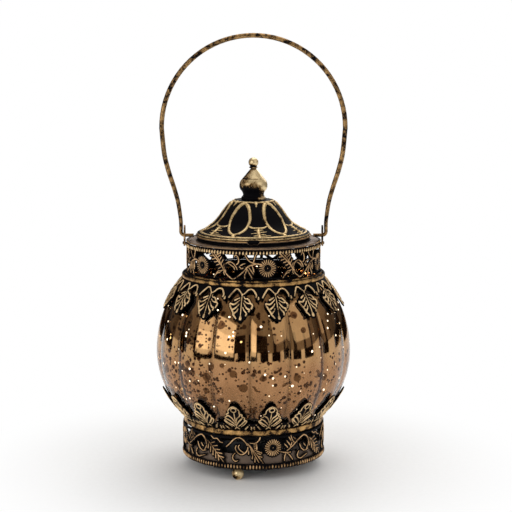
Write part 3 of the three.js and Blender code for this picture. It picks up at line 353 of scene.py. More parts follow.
def squares(field, xs, ys):
    """Faces where the field is below zero, with the cut squares trimmed along their edges."""
    field = np.where(np.abs(field) < 1e-3, -1e-3, field)
    spots, faces, names = [], [], {}

    def spot(key, x, y):
        if key not in names:
            names[key] = len(spots)
            spots.append((x, y))
        return names[key]

    for i in range(len(xs) - 1):
        for j in range(len(ys) - 1):
            corners = [(i, j), (i + 1, j), (i + 1, j + 1), (i, j + 1)]
            values = [field[c] for c in corners]
            if min(values) > 0:
                continue
            face = []
            for k in range(4):
                here, there = corners[k], corners[(k + 1) % 4]
                v, w = values[k], values[(k + 1) % 4]
                if v < 0:
                    face.append(spot(here, xs[here[0]], ys[here[1]]))
                if (v < 0) != (w < 0):
                    t = min(max(v / (v - w), CUT_CLEARANCE), 1 - CUT_CLEARANCE)
                    if here > there:
                        here, there, t = there, here, 1 - t
                    x = xs[here[0]] * (1 - t) + xs[there[0]] * t
                    y = ys[here[1]] * (1 - t) + ys[there[1]] * t
                    face.append(spot((here, there), x, y))
            faces.append(face)
    return spots, faces


SHEET = 0.7  # thickness of the stamped iron
SHEET_LIFT = -0.75  # its flat face lies low, where the patina stays black
WELD = 1e-5  # metres within which the seams of two repeats become one


def thick_sheet(name, patch, place, half, copies, material):
    """A sheet with its outer face, inner face and edges, repeated round the axis.

    The patch is one repeat, from -half to half along. Its two seams stay open and meet the next one's.
    """
    spots, faces = patch
    outer, inner = [], []
    for x, y in spots:
        spot, out = place(x, y)
        outer.append(spot)
        inner.append([s - o * SHEET for s, o in zip(spot, out)])
    count = len(spots)
    solid = [list(f) for f in faces] + [[k + count for k in reversed(f)] for f in faces]
    borders = {(a, b) for f in faces for a, b in zip(f, f[1:] + f[:1])}
    for a, b in borders:
        along, other = spots[a][0], spots[b][0]
        on_seam = abs(abs(along) - half) < 1e-6 and abs(along - other) < 1e-6
        if (b, a) not in borders and not on_seam:
            solid.append([b, a, a + count, b + count])
    piece = object_from(name, outer + inner, faces=solid, lift=[SHEET_LIFT] * count + [-1.0] * count)
    return run_tree(piece, COPIES, copies=copies, merge_distance=WELD, material=material)


LINE_RISE = 0.6  # of the raised lines over the face of a pierced band


def on_band(radius, low, start):
    """Where a point of a flat band lies once it is rolled; start is the bearing of its zero in degrees."""
    def place(along, up):
        bearing = math.radians(start) + along / radius
        out = (math.sin(bearing), -math.cos(bearing), 0.0)
        return around(bearing, radius - LINE_RISE, low + up), out
    return place


def stroke(points, radius, end=None, steps=5):
    """A rounded line through the points, with its radius at the start and at the end."""
    return (smooth(points, steps), radius, radius if end is None else end)


def teeth(pairs, radius, end):
    """Short straight ribs, each from a root to a tip."""
    return [([a, ((a[0] + b[0]) / 2, (a[1] + b[1]) / 2), b], radius, end) for a, b in pairs]


def disc(x, y, radius, count):
    """A round outline of so many points."""
    turns = [math.tau * i / count for i in range(count)]
    return [(x + radius * math.cos(turn), y + radius * math.sin(turn)) for turn in turns]


def flower(x, y, radius, petals):
    """A round flower: a rib for each petal, wider outwards, round a dark middle with a small boss."""
    ribs = zip(disc(x, y, radius * 0.4, petals), disc(x, y, radius * 0.96, petals))
    return teeth(ribs, 0.22, 0.5) + [([(x - 0.15, y), (x + 0.15, y)], 0.6, 0.6)]


def shift(strokes, along):
    """The same lines, moved along the band."""
    return [([(p[0] + along, p[1]) for p in line], *widths) for line, *widths in strokes]


FLOWER_SHEET = 5.2  # radius of the uncut sheet behind a flower
BAND_EDGE = 0.1  # of the sheet from the band's own height, at the top and at the bottom


def pierced_band(name, size, start, repeats, vines, rails, flower_at, margin, cell):
    """The sheet of a pierced band and the vines on it. size is its radius, lower edge and height.

    vines are the lines of one repeat; a rail is the height and the radius of a line that runs all round.
    """
    radius, low, height = size
    pitch = math.tau * radius / repeats
    half = pitch / 2
    place = on_band(radius, low, start)
    lines = vines + shift(vines, pitch) + shift(vines, -pitch)
    lines += [([(-half, up), (0, up), (half, up)], width) for up, width in rails]
    patch = stamped_patch(lines, [disc(*flower_at, FLOWER_SHEET, 24)], margin,
                          (-half, BAND_EDGE), (half, height - BAND_EDGE), cell)
    # The sheet and its vines take the darker copy of the stamped iron, painted shade.
    sheet = thick_sheet(name + "_sheet", patch, place, half, repeats, shaded_band_iron)
    return sheet, ridges(name + "_vines", vines, place, repeats, shaded_band_iron)


BASE_FLOWER = (-1.1, 14.4)  # along one repeat and up the band, in millimetres, as are the vines
base_vines = [
    stroke([(-32.5, 14.8), (-30.1, 17), (-27.9, 19.4), (-25.9, 20.9), (-23.9, 21.4), (-22, 20.8),
            (-19.3, 18.2), (-18.2, 16.2)], 0.55, 0.45),
    stroke([(-18.2, 17.6), (-16.3, 15.4), (-14.2, 11.6), (-11.5, 6.5), (-10.4, 4.8)], 0.5, 0.36),
    stroke([(-16.6, 16.3), (-13.6, 12.1), (-10.9, 8.7), (-7.7, 4.2)], 0.36, 0.5),
    stroke([(-12.3, 17.7), (-12.2, 15.6), (-12, 13.5)], 0.75, 0.6),
    stroke([(-25.6, 16.1), (-26.2, 14.2), (-25.1, 11.8), (-22.6, 10.1), (-20.1, 10.9), (-18.2, 13.2),
            (-17.8, 15.4)], 0.42, 0.5),
    stroke([(-23.4, 16.4), (-24.2, 15.4), (-23.4, 13.4), (-20.7, 11.4)], 0.36, 0.4),
    stroke([(-26.2, 11.1), (-27.8, 9.3), (-28, 7.1), (-26.3, 5.4), (-24.4, 6.1)], 0.45, 0.4),
    stroke([(-16.6, 17.9), (-13.1, 17.9), (-10.4, 19.9), (-9.8, 22)], 0.36, 0.55),
    stroke([(8.7, 11.4), (13.4, 14.4), (17.5, 17.7), (21.2, 19.7), (23.5, 20), (26.4, 17.7), (27.5, 13.5),
            (25.2, 10.1)], 0.5, 0.5),
    stroke([(3.9, 11.4), (7.8, 10.4), (11.8, 10.2)], 0.4, 0.45),
    stroke([(8.1, 10.1), (7.2, 8), (6.9, 4.9)], 0.42, 0.5),
    stroke([(9, 10), (11.5, 7.4), (13.2, 4.9)], 0.42, 0.5),
    stroke([(19, 14.6), (20.5, 11.5), (23.6, 9.5), (26.9, 10.3)], 0.4, 0.45),
    stroke([(18.6, 10.2), (17.2, 8.2), (17.6, 5.8), (20.1, 4.9), (22, 5.6), (26.1, 7)], 0.42, 0.42),
    stroke([(26.6, 17.6), (29.6, 16.4), (32.6, 13.4), (36.4, 9.2), (41.2, 4)], 0.5, 0.36),
    stroke([(31.2, 20.8), (33.4, 19.2), (36.2, 19.4), (38.4, 17.4), (40.4, 17.2)], 0.4, 0.36),
    stroke([(14.6, 16.2), (12.8, 18.4), (11.8, 21.4)], 0.36, 0.45),
]
base_vines += teeth([
    ((-13.6, 13.4), (-8.6, 11.2)), ((-12.2, 11.6), (-9.3, 10.1)), ((-10.8, 9.2), (-8.4, 8.4)),
    ((-13, 17), (-14, 16.7)), ((-13, 15.8), (-13.9, 15.4)), ((-12.9, 14.6), (-13.6, 14.1))], 0.34, 0.5)
base_vines += teeth([
    ((-15.9, 14.2), (-14.9, 10.4)), ((-17.2, 13), (-17.4, 10.4)), ((-14.6, 11), (-15, 7.3)),
    ((-13.2, 8.6), (-13.2, 5.2)), ((8.5, 18.4), (11.2, 15)), ((10.2, 20.6), (11.8, 18)),
    ((6.8, 16.4), (9.3, 13.6)), ((22.4, 14.6), (24.4, 12.4)), ((12.6, 16.8), (11.4, 13.6)),
    ((13.4, 20.2), (15.6, 18.4)), ((30.6, 15.6), (34.4, 16.9)), ((32.3, 14), (36.5, 14.7)),
    ((34, 12), (38.3, 12.2)), ((35.8, 10.1), (39.9, 9.7)), ((37.6, 8.1), (41.3, 7.1)),
    ((29.4, 16), (28.7, 11.7)), ((31.2, 14.4), (30.7, 9.5)), ((33, 12.6), (32.8, 7.7)),
    ((34.9, 10.6), (35, 6)), ((36.9, 8.4), (37.3, 4.7))], 0.34, 0.55)
base_vines += flower(*BASE_FLOWER, 5.8, 22)
base_rails = [(0.4, 0.3), (1.9, 1.2), (21.4, 0.5)]
base_sheet, base_lines = pierced_band(
    "base_band", (BASE_BAND_RADIUS, BASE_BAND_LOW, BASE_BAND_HEIGHT), BASE_FLOWER_AT, BASE_REPEATS,
    base_vines, base_rails, BASE_FLOWER, margin=0.6, cell=0.52)
finish_piece(base_sheet, BODY, "antique_gold", "base_band")
finish_piece(base_lines, BODY, "antique_gold", "base_band")


def beading(name, radius, z, count, size, material, lean=0.0):
    """A row of small oval beads round an edge. size is the bead's half width, depth and height in mm."""
    rings, sides = 5, 6
    points, faces, lifts = [], [], []
    for r in range(rings + 1):
        tilt = math.pi * (r / rings - 0.5)
        for s in range(sides):
            turn = math.tau * s / sides
            x = size[0] * math.cos(tilt) * math.cos(turn)
            out = math.cos(tilt) * math.sin(turn)
            up = size[2] * math.sin(tilt)
            points.append((x + up * lean, -(radius + size[1] * out), z + up))
            lifts.append(out)
    for r in range(rings):
        for s in range(sides):
            a, b = r * sides + s, r * sides + (s + 1) % sides
            faces.append((b, a, a + sides, b + sides))
    piece = object_from(name, points, faces=faces, lift=lifts)
    return run_tree(piece, COPIES, copies=count, merge_distance=2e-5, material=material)


BASE_BEADS = 142
base_beads = beading("base_band_beading", BASE_BAND_RADIUS - LINE_RISE, BASE_BAND_LOW + 1.8, BASE_BEADS,
                     (0.68, 0.8, 1.5), shaded_band_iron)
finish_piece(base_beads, BODY, "antique_gold", "base_band")

# Plain rings: a smooth iron strip over each pierced band, with a rounded face and worn gold on it.
# The base ring carries the glass, and the collar ring stands on the rim of the glass.

ring_iron = rubbed_patina(
    "iron_strip_black_patina_rubbed_gold", ("#6e5030", "#cfa468"),
    bias=0.0, patch=3.4, patch_mm=5)


def turned(name, profile, material, steps=128, lifts=None):
    """A closed profile of (radius, height) in mm, turned about the axis; lifts go with its points."""
    points, faces, lift, rows = [], [], [], []
    for (radius, z), value in zip(profile, lifts or [0.0] * len(profile)):
        first = len(points)
        if radius < 1e-6:
            points.append((0.0, 0.0, z))
            rows.append([first] * steps)
        else:
            points += [around(math.tau * i / steps, radius, z) for i in range(steps)]
            rows.append(list(range(first, first + steps)))
        lift += [value] * (len(points) - first)
    closed = profile[0][0] > 1e-6
    pairs = list(zip(rows, rows[1:])) + ([(rows[-1], rows[0])] if closed else [])
    for low, high in pairs:
        for i in range(steps):
            k = (i + 1) % steps
            face = [low[i], low[k], high[k], high[i]]
            face = [v for n, v in enumerate(face) if v not in face[:n]]
            if len(face) > 2:
                faces.append(face)
    piece = object_from(name, points, faces=faces, lift=lift)
    piece.data.materials.append(material)
    piece.data.shade_smooth()
    return piece


RING_HEIGHT = 3.9
RING_SHEET = 1.0


def plain_ring(name, radius, low):
    """A strip with softened edges; radius is its outside."""
    high = low + RING_HEIGHT
    profile = [(radius - 0.35, low), (radius - 0.05, low + 0.35), (radius, low + 1),
               (radius, high - 1), (radius - 0.05, high - 0.35), (radius - 0.35, high),
               (radius - RING_SHEET, high), (radius - RING_SHEET, low)]
    return turned(name, profile, ring_iron, lifts=[-0.6, 0.2, 0.5, 0.5, 0.2, -0.6, -1, -1])


BASE_RING_RADIUS = 46.9
BASE_RING_LOW = 30.3
base_ring = plain_ring("base_ring_strip", BASE_RING_RADIUS, BASE_RING_LOW)
finish_piece(base_ring, BODY, "antique_gold", "base_ring")
COLLAR_RING_RADIUS = 46.0
COLLAR_RING_LOW = 128.38
collar_ring = plain_ring("collar_ring_strip", COLLAR_RING_RADIUS, COLLAR_RING_LOW)
finish_piece(collar_ring, BODY, "antique_gold", "collar_ring")

# Glass globe: clear glass blown into a ribbed mould, silvered inside with a copper-toned mirror.
# The mirror has spots where the silvering was splashed away, painted dark brown as painted shade of the
# dark inside, and small glowing dots, painted glints that stand in for light through pinholes.
# It stands in the base ring and carries the collar on its rim.

GLOBE_EQUATOR = 78.64
GLOBE_MOUTH = 128.08
GLOBE_FLOOR = 28.5
GLOBE_RADIUS = 65.0
GLOBE_LOWER = 62.0  # half heights of the oval, below and above its widest line
GLOBE_UPPER = 70.0
LOBES = 15
GROOVE_AT = -2.0
GROOVE_OUTSIDE = 1.5  # depths of the valleys between the lobes
GROOVE_INSIDE = 1.9
GLASS_WALL = 2.0
GLASS_FLOOR = 2.5
WIRE_HOLE_RADIUS = 4.3


def globe_radius(z, shrink=0.0):
    """The glass's radius at a height; shrink is how far inside the outer face."""
    half = (GLOBE_UPPER if z > GLOBE_EQUATOR else GLOBE_LOWER) - shrink
    return (GLOBE_RADIUS - shrink) * math.sqrt(max(0.0, 1 - ((z - GLOBE_EQUATOR) / half) ** 2))


def clear_glass():
    """Soda-lime glass, blown: clear with a faint warm grey, so its edge shows as a pale rim."""
    material, tree = new_material("blown_soda_lime_glass")
    place = add(tree, "ShaderNodeTexCoord").outputs["Object"]
    wave = add(tree, "ShaderNodeTexNoise", {
        "Vector": place, "Scale": 1 / (22 * MM), "Detail": 1.0}).outputs["Fac"]
    bump = add(tree, "ShaderNodeBump", {
        "Height": wave, "Strength": 0.25, "Distance": 1.2 * MM}).outputs["Normal"]
    shader = add(tree, "ShaderNodeBsdfPrincipled", {
        "Base Color": linear("#f3eee9"), "Roughness": 0.0, "IOR": 1.5, "Transmission Weight": 1.0,
        "Specular Tint": linear("#c49a72"), "Normal": bump})
    add(tree, "ShaderNodeOutputMaterial", {"Surface": shader.outputs[0]})
    return material


def spots(tree, place, cell_mm, share, low, high):
    """Round spots scattered in cells: a share of the cells has one, of a radius from low to high cells."""
    warp = add(tree, "ShaderNodeTexNoise", {
        "Vector": place, "Scale": 2 / (cell_mm * MM), "Detail": 2.0}).outputs["Color"]
    wobble = add(tree, "ShaderNodeVectorMath", {0: warp, "Scale": cell_mm * MM * 0.18},
                 operation="SCALE").outputs[0]
    moved = add(tree, "ShaderNodeVectorMath", {0: place, 1: wobble}, operation="ADD").outputs[0]
    cells = add(tree, "ShaderNodeTexVoronoi", {
        "Vector": moved, "Scale": 1 / (cell_mm * MM), "Randomness": 1.0}).outputs
    pick = add(tree, "ShaderNodeSeparateColor", {"Color": cells["Color"]}).outputs
    chosen = add(tree, "ShaderNodeMath", {0: pick["Red"], 1: share}, operation="LESS_THAN").outputs[0]
    radius = add(tree, "ShaderNodeMapRange", {
        "Value": pick["Green"], "To Min": low, "To Max": high}).outputs["Result"]
    gap = add(tree, "ShaderNodeMath", {0: radius, 1: cells["Distance"]}, operation="SUBTRACT").outputs[0]
    inside = add(tree, "ShaderNodeMapRange", {
        "Value": gap, "From Min": 0.0, "From Max": 0.06}).outputs["Result"]
    return add(tree, "ShaderNodeMath", {0: inside, 1: chosen}, operation="MULTIPLY").outputs[0]


def silvering():
    """Copper-toned mirror coat on the inside of the glass: bright and smooth, with splashed spots painted
    dark.

    The coat is spotted low on one side of the globe, where it was swilled. The spots are painted dark
    brown, painted shade of the dark inside seen through them, and the mould's valleys are painted darker
    as painted shade. Its tone changes with height as a painted reflection. Small glowing dots are painted
    glints that stand in for the lights of the string seen through pinholes.
    """
    material, tree = new_material("copper_mirror_coat_splashed")
    place = add(tree, "ShaderNodeTexCoord").outputs["Object"]
    axes = add(tree, "ShaderNodeSeparateXYZ", {"Vector": place}).outputs
    drift = add(tree, "ShaderNodeTexNoise", {
        "Vector": place, "Scale": 1 / (26 * MM), "Detail": 2.0}).outputs["Fac"]
    drawn = add(tree, "ShaderNodeVectorMath", {0: place, 1: (1.0, 1.0, 0.3)},
                operation="MULTIPLY").outputs[0]
    cloud = add(tree, "ShaderNodeTexNoise", {
        "Vector": drawn, "Scale": 1 / (8 * MM), "Detail": 4.0}).outputs["Fac"]
    sway = add(tree, "ShaderNodeMath", {0: drift, 1: 16 * MM}, operation="MULTIPLY").outputs[0]
    level = add(tree, "ShaderNodeMath", {0: axes["Z"], 1: sway}, operation="ADD").outputs[0]
    low = add(tree, "ShaderNodeMapRange", {"Value": level, "From Min": 95 * MM, "From Max": 82 * MM},
              interpolation_type="SMOOTHSTEP").outputs["Result"]
    weight = add(tree, "ShaderNodeMapRange", {"Value": low, "To Min": 0.7, "To Max": 1.0}).outputs["Result"]
    side = add(tree, "ShaderNodeMapRange", {
        "Value": axes["X"], "From Min": 45 * MM, "From Max": -45 * MM,
        "To Min": 0.8, "To Max": 1.3}).outputs["Result"]
    dense = add(tree, "ShaderNodeMath", {0: drift, 1: weight}, operation="MULTIPLY").outputs[0]
    swilled = add(tree, "ShaderNodeMath", {0: dense, 1: side}, operation="MULTIPLY").outputs[0]
    share = add(tree, "ShaderNodeMapRange", {
        "Value": swilled, "From Min": 0.3, "From Max": 0.65,
        "To Min": 0.05, "To Max": 0.9}).outputs["Result"]
    few = add(tree, "ShaderNodeMath", {0: share, 1: 0.6}, operation="MULTIPLY").outputs[0]
    fine = spots(tree, place, 1.9, few, 0.3, 0.5)
    small = spots(tree, place, 3.2, share, 0.3, 0.5)
    large = spots(tree, place, 6.5, few, 0.3, 0.5)
    hole = add(tree, "ShaderNodeMath", {0: small, 1: fine}, operation="MAXIMUM").outputs[0]
    valley = add(tree, "ShaderNodeAttribute", attribute_name="valley").outputs["Fac"]
    # Painted reflection: the coat's tone follows height, a little lighter above a swaying line at 82 to 95
    # mm and darker below it.
    upper_painted_reflection_tone = add(tree, "ShaderNodeMix", {0: cloud, 6: linear("#926a46"), 7: linear("#dab27c")},
                     data_type="RGBA").outputs[2]
    lower_painted_reflection_tone = add(tree, "ShaderNodeMix", {0: cloud, 6: linear("#845c3c"), 7: linear("#c6986c")},
                     data_type="RGBA").outputs[2]
    colour = add(tree, "ShaderNodeMix", {0: low, 6: upper_painted_reflection_tone, 7: lower_painted_reflection_tone},
                 data_type="RGBA").outputs[2]
    # Painted shade: gaps in the coat are painted dark brown for the dark inside seen through them, and the
    # mould's valleys are painted darker.
    for mask, painted_shade_tone in ((large, "#604024"), (hole, "#341a0a"), (valley, "#24150c")):
        colour = add(tree, "ShaderNodeMix", {0: mask, 6: colour, 7: linear(painted_shade_tone)},
                     data_type="RGBA").outputs[2]
    rough = add(tree, "ShaderNodeMapRange", {
        "Value": cloud, "To Min": 0.02, "To Max": 0.08}).outputs["Result"]
    coat = add(tree, "ShaderNodeBsdfPrincipled", {
        "Base Color": colour, "Metallic": 1.0, "Roughness": rough})
    clear = add(tree, "ShaderNodeBsdfTransparent", {"Color": linear("#fff0d6")})
    thin = add(tree, "ShaderNodeMapRange", {"Value": fine, "To Min": 0.0, "To Max": 0.15}).outputs["Result"]
    worn = add(tree, "ShaderNodeMixShader", {0: thin, 1: coat.outputs[0], 2: clear.outputs[0]})
    # Painted glints: small dots of the coat glow warm white, standing in for the string's lights seen
    # through pinholes.
    painted_glint_light = add(tree, "ShaderNodeEmission", {"Color": linear("#ffe9c8"), "Strength": 3.2})
    painted_glint_spots = spots(tree, place, 2.5, 0.09, 0.15, 0.36)
    shader = add(tree, "ShaderNodeMixShader", {0: painted_glint_spots, 1: worn.outputs[0], 2: painted_glint_light.outputs[0]})
    add(tree, "ShaderNodeOutputMaterial", {"Surface": shader.outputs[0]})
    return material


def ribbed_globe():
    """The globe as one closed wall: the ribbed outside, the rim, the inside and the hole in the floor."""
    columns = LOBES * 16
    start = math.radians(GROOVE_AT)
    outer_rows, inner_rows = 56, 48

    def rows(low, count, shrink):
        top = math.asin((GLOBE_MOUTH - GLOBE_EQUATOR) / (GLOBE_UPPER - shrink))
        bottom = math.asin((low - GLOBE_EQUATOR) / (GLOBE_LOWER - shrink))
        found = []
        for i in range(count + 1):
            tilt = top + (bottom - top) * i / count
            z = GLOBE_EQUATOR + ((GLOBE_UPPER if tilt > 0 else GLOBE_LOWER) - shrink) * math.sin(tilt)
            found.append((globe_radius(z, shrink), z))
        return found

    def groove(bearing, depth):
        turn = (bearing - start) * LOBES / 2
        return depth * (1 - abs(math.sin(turn)) ** 0.8)  # a round lobe between sharp valleys

    outer = [(r, z, GROOVE_OUTSIDE) for r, z in rows(GLOBE_FLOOR, outer_rows, 0.0)]
    inner_floor = GLOBE_FLOOR + GLASS_FLOOR
    hole = [(WIRE_HOLE_RADIUS, GLOBE_FLOOR, 0.0), (WIRE_HOLE_RADIUS, inner_floor, 0.0)]
    inner = [(r, z, GROOVE_INSIDE) for r, z in reversed(rows(inner_floor, inner_rows, GLASS_WALL))]
    loop = outer + hole + inner
    points, valleys = [], []
    for i in range(columns):
        bearing = start + math.tau * i / columns
        for radius, z, depth in loop:
            fade = (radius / GLOBE_RADIUS) ** 2
            points.append(around(bearing, radius - groove(bearing, depth) * fade, z))
            # Painted shade: the coat is darker along the mould's valleys, most at their bottom.
            valleys.append(0.5 * groove(bearing, 1.0) ** 4)
    count = len(loop)
    faces, coats = [], []
    for i in range(columns):
        for j in range(count):
            a, b = i * count + j, i * count + (j + 1) % count
            c, d = ((i + 1) % columns) * count + (j + 1) % count, ((i + 1) % columns) * count + j
            faces.append((a, b, c, d))
            coats.append(1 if len(outer) < j < count - 1 else 0)  # the mirror is on the inside alone
    piece = object_from("ribbed_glass_globe", points, faces=faces, valley=valleys)
    piece.data.materials.append(clear_glass())
    piece.data.materials.append(silvering())
    piece.data.polygons.foreach_set("material_index", coats)
    piece.data.shade_smooth()
    return piece


globe = ribbed_globe()
finish_piece(globe, BODY, "mercury_glass", "glass_globe")

# Lower leaf crown: fifteen stamped leaves standing up from the base ring, close to the glass.
# Each has a raised edge, fanned veins and a knob at its tip; small buds stand between the leaves.

LOWER_LEAVES = 15
LOWER_LEAF_AT = 11.6
LOWER_ROOT = 34.9
LOWER_REFERENCE = 54.6  # radius at which widths along the crown are measured, in mm
LOWER_RISE = 18.3
LEAF_ROOT_GAP = 0.5  # from the glass to the inner face
LEAF_TIP_GAP = 1.1
LEAF_MARGIN = 0.2
LEAF_CELL = 0.5


def leaf_place(root_z, sign, start, reference, rise, clear_radius=0.0):
    """Where a point of the flat leaf pattern lies: over the glass, leaning out a little to the tip."""
    step = 0.5

    def place(along, up):
        z = root_z + sign * up
        share = min(max(up / rise, 0.0), 1.0)
        gap = LEAF_ROOT_GAP + (LEAF_TIP_GAP - LEAF_ROOT_GAP) * share ** 2 + SHEET
        radius = max(clear_radius, 0.0 if up < 0 else globe_radius(z) + gap)
        bearing = math.radians(start) + along / reference
        slope = (globe_radius(z + step) - globe_radius(z - step)) / (2 * step) if up > 0 else 0.0
        level = math.hypot(1.0, slope)
        out = (math.sin(bearing) / level, -math.cos(bearing) / level, -slope / level)
        return around(bearing, radius, z), out
    return place


def flipped(shape):
    """The mirror image of a flat outline or line."""
    return [(-x, y) for x, y in shape]


def mirrored(strokes):
    """The mirror image of some lines."""
    return [(flipped(line), *widths) for line, *widths in strokes]
lower_edge = [(0, 1.7), (1.6, 1.6), (3.2, 2.4), (5.8, 4.5), (7.5, 7.2), (6, 8.4), (6.3, 9.9),
              (4.7, 10.8), (4.9, 12.4), (3.5, 13.2), (3.4, 15), (1.9, 17.2), (0, 18.3)]
lower_leaf = lower_edge + flipped(lower_edge[-2:0:-1])
lower_half_pitch = math.tau * LOWER_REFERENCE / LOWER_LEAVES / 2
lower_knob = [(1.6 * math.cos(t), 15.7 + 1.6 * math.sin(t)) for t in np.linspace(0, math.tau, 13)]
lower_strokes = [
    stroke(lower_edge[2:], 0.45, 0.45, 3),
    *mirrored([stroke(lower_edge[2:], 0.45, 0.45, 3)]),
    (lower_knob, 0.55, 0.55),
    stroke([(0, 1.7), (0, 7), (0, 13.6)], 0.3, 0.42),
    stroke([(0.3, 5.6), (1.3, 9.2), (2.6, 10.5), (3.6, 12.2), (3, 14.4)], 0.34, 0.75, 3),
    stroke([(0.3, 3.6), (1.7, 6.1), (3.3, 8), (4.9, 9.8)], 0.34, 0.75, 3),
    stroke([(1.4, 2.8), (3.5, 4.3), (5.2, 6.3), (6.7, 7.8)], 0.38, 0.85, 3),
    stroke([(-0.3, 5.4), (-1.6, 8.9), (-3.3, 10.9), (-4.6, 11.6)], 0.34, 0.72, 3),
    stroke([(-0.3, 3.4), (-2.2, 5.9), (-4, 7.8), (-5.8, 8.9)], 0.34, 0.75, 3),
    stroke([(-1.2, 2.6), (-3.4, 4.2), (-5.4, 5.6), (-6.9, 7.2)], 0.38, 0.8, 3),
    *[([(-0.12, y), (0.12, y)], 0.55, 0.55) for y in (3.5, 7.0, 10.0)],
]
lower_buds = [
    stroke([(0, 1.7), (1.1, 1.1), (1.9, 0.1)], 0.5, 0.4, 3),
    stroke([(5.7, -0.2), (6.9, 1.5), (8.2, 2.9)], 0.75, 0.55, 3),
    ([(9, 4), (9.2, 4.2)], 0.6, 0.5),
    stroke([(10.2, 0), (10.5, 1.4), (10.4, 2.6)], 0.6, 0.5, 3),
]
lower_strokes += lower_buds + mirrored(lower_buds)
lower_rail = [([(-lower_half_pitch, 0.0), (0, 0.0), (lower_half_pitch, 0.0)], 0.6)]
bud_sheet = [(4.4, -0.4), (5.2, 1.2), (7.4, 3.6), (9.2, 5.2), (lower_half_pitch + 1, 4),
             (lower_half_pitch + 1, -0.4)]
on_lower = leaf_place(LOWER_ROOT, 1, LOWER_LEAF_AT, LOWER_REFERENCE, LOWER_RISE)
lower_patch = stamped_patch(
    lower_rail + lower_strokes, [smooth(lower_leaf, 3, closed=True), bud_sheet, flipped(bud_sheet)],
    LEAF_MARGIN, (-lower_half_pitch, -0.4), (lower_half_pitch, 18.8), LEAF_CELL)
lower_sheet = thick_sheet("lower_leaf_sheet", lower_patch, on_lower, lower_half_pitch, LOWER_LEAVES,
                          stamped_iron)
finish_piece(lower_sheet, BODY, "antique_gold", "lower_leaf_crown")
lower_ridges = ridges("lower_leaf_veins", lower_strokes, on_lower, LOWER_LEAVES, stamped_iron)
finish_piece(lower_ridges, BODY, "antique_gold", "lower_leaf_crown")

# Upper leaf apron: one stamped strip lapped over the collar ring, with arches and fifteen hanging leaves.
# The leaves are bent over the shoulder of the globe; the lap carries a raised bar with worn gold.

UPPER_LEAVES = 15
UPPER_LEAF_AT = -8.0
UPPER_REFERENCE = 55.0
UPPER_DROP = 19.5
UPPER_LAP_RADIUS = 47.1
upper_half_pitch = math.tau * UPPER_REFERENCE / UPPER_LEAVES / 2
upper_edge = [(0, 6.3), (2.4, 6.3), (5, 7.4), (7.3, 9.3), (6.9, 10.8), (6, 12.3), (5, 13.5), (4.4, 15),
              (3.4, 16.6), (2.3, 18), (0, 19.5)]
upper_leaf = upper_edge + flipped(upper_edge[-2:0:-1])
arch_right = [(0.6, 3.95), (1.5, 3.4), (2.65, 2.5), (3.8, 1.5), (5.4, 1), (7, 1.1), (8.3, 1.95),
              (9.2, 3.1), (9.8, 4.4), (9.4, 5.8)]
arch_left = [(-0.4, 3.5), (-1.7, 2.2), (-3, 1.1), (-4.3, 0.8), (-5.2, 1.2), (-6.2, 2.2), (-7.4, 3.5),
             (-8.6, 5), (-9.2, 6)]
upper_strokes = [
    stroke(arch_right, 0.5, 0.75, 3),
    stroke(arch_left, 0.5, 0.7, 3),
    ([(11.2, 5.2), (11.1, 6.2), (11, 7)], 0.5, 0.85),
    stroke([(0, 3.4), (0, 3.9), (0, 4.6)], 0.75, 0.6, 2),
    stroke([(0, 4.4), (0, 9), (0, 13), (0, 16.6)], 0.34, 0.4, 3),
    *[([(0, y - 0.2), (0, y + 0.2)], 0.55, 0.55) for y in (6.5, 8.3, 10.9)],
    ([(0, 16.6), (0, 17.8), (0, 18.8)], 1.0, 1.15),
    stroke([(1.2, 5), (2.2, 6.3), (3.6, 6.3), (4.7, 7), (5.5, 8.1), (6, 9)], 0.36, 0.82, 3),
    stroke([(1.7, 7.4), (3.3, 8.6), (4.7, 9), (6.2, 9.1), (7.1, 10), (6.8, 11.1),
            (6.2, 12.3)], 0.36, 0.82, 3),
    stroke([(1.4, 8.8), (2.6, 10.6), (3.9, 12), (5.2, 12.6), (4.7, 13.9)], 0.36, 0.82, 3),
    stroke([(1, 11.1), (2, 13), (3.1, 14.2), (3.5, 15), (3, 16.3)], 0.36, 0.78, 3),
    stroke([(-1.2, 5.8), (-3.4, 6.7), (-4.9, 7.4)], 0.36, 0.78, 3),
    stroke([(-1, 7), (-2.6, 8.3), (-3.9, 9.3), (-5.4, 9.7), (-7.3, 9.1)], 0.36, 0.82, 3),
    stroke([(-1.4, 9.3), (-2.6, 10.9), (-4.3, 12.2), (-5.5, 12.7)], 0.36, 0.78, 3),
    stroke([(-1.8, 12), (-2.5, 13.5), (-3.6, 14.5), (-4.3, 15.5)], 0.36, 0.7, 3),
    stroke([(-7.5, 9.1), (-7.2, 10.4), (-6.3, 11.9), (-5.4, 13.3), (-4.7, 14.5), (-4.3, 15.8), (-3.3, 16.9),
            (-2.5, 18)], 0.75, 0.6, 3),
]
scallop_sheet = [
    (-upper_half_pitch - 1, -3.1), (upper_half_pitch + 1, -3.1), (upper_half_pitch + 1, 6), (10.4, 6),
    (9.8, 4.4), (8.6, 2.6), (5.4, 1.4), (2.8, 3), (1.2, 4.4), (1.2, 6.6), (-1.2, 6.6), (-1.2, 4.4),
    (-4.3, 1.6), (-7, 3.8), (-9.6, 6), (-upper_half_pitch - 1, 6)]
on_upper = leaf_place(
    GLOBE_MOUTH, -1, UPPER_LEAF_AT, UPPER_REFERENCE, UPPER_DROP, clear_radius=UPPER_LAP_RADIUS)
upper_patch = stamped_patch(
    mirrored(upper_strokes), [flipped(smooth(upper_leaf, 3, closed=True)), flipped(scallop_sheet)],
    LEAF_MARGIN, (-upper_half_pitch, -3.1), (upper_half_pitch, 20.0), LEAF_CELL)
upper_sheet = thick_sheet("upper_leaf_sheet", upper_patch, lambda x, y: on_upper(-x, y),
                          upper_half_pitch, UPPER_LEAVES, stamped_iron)
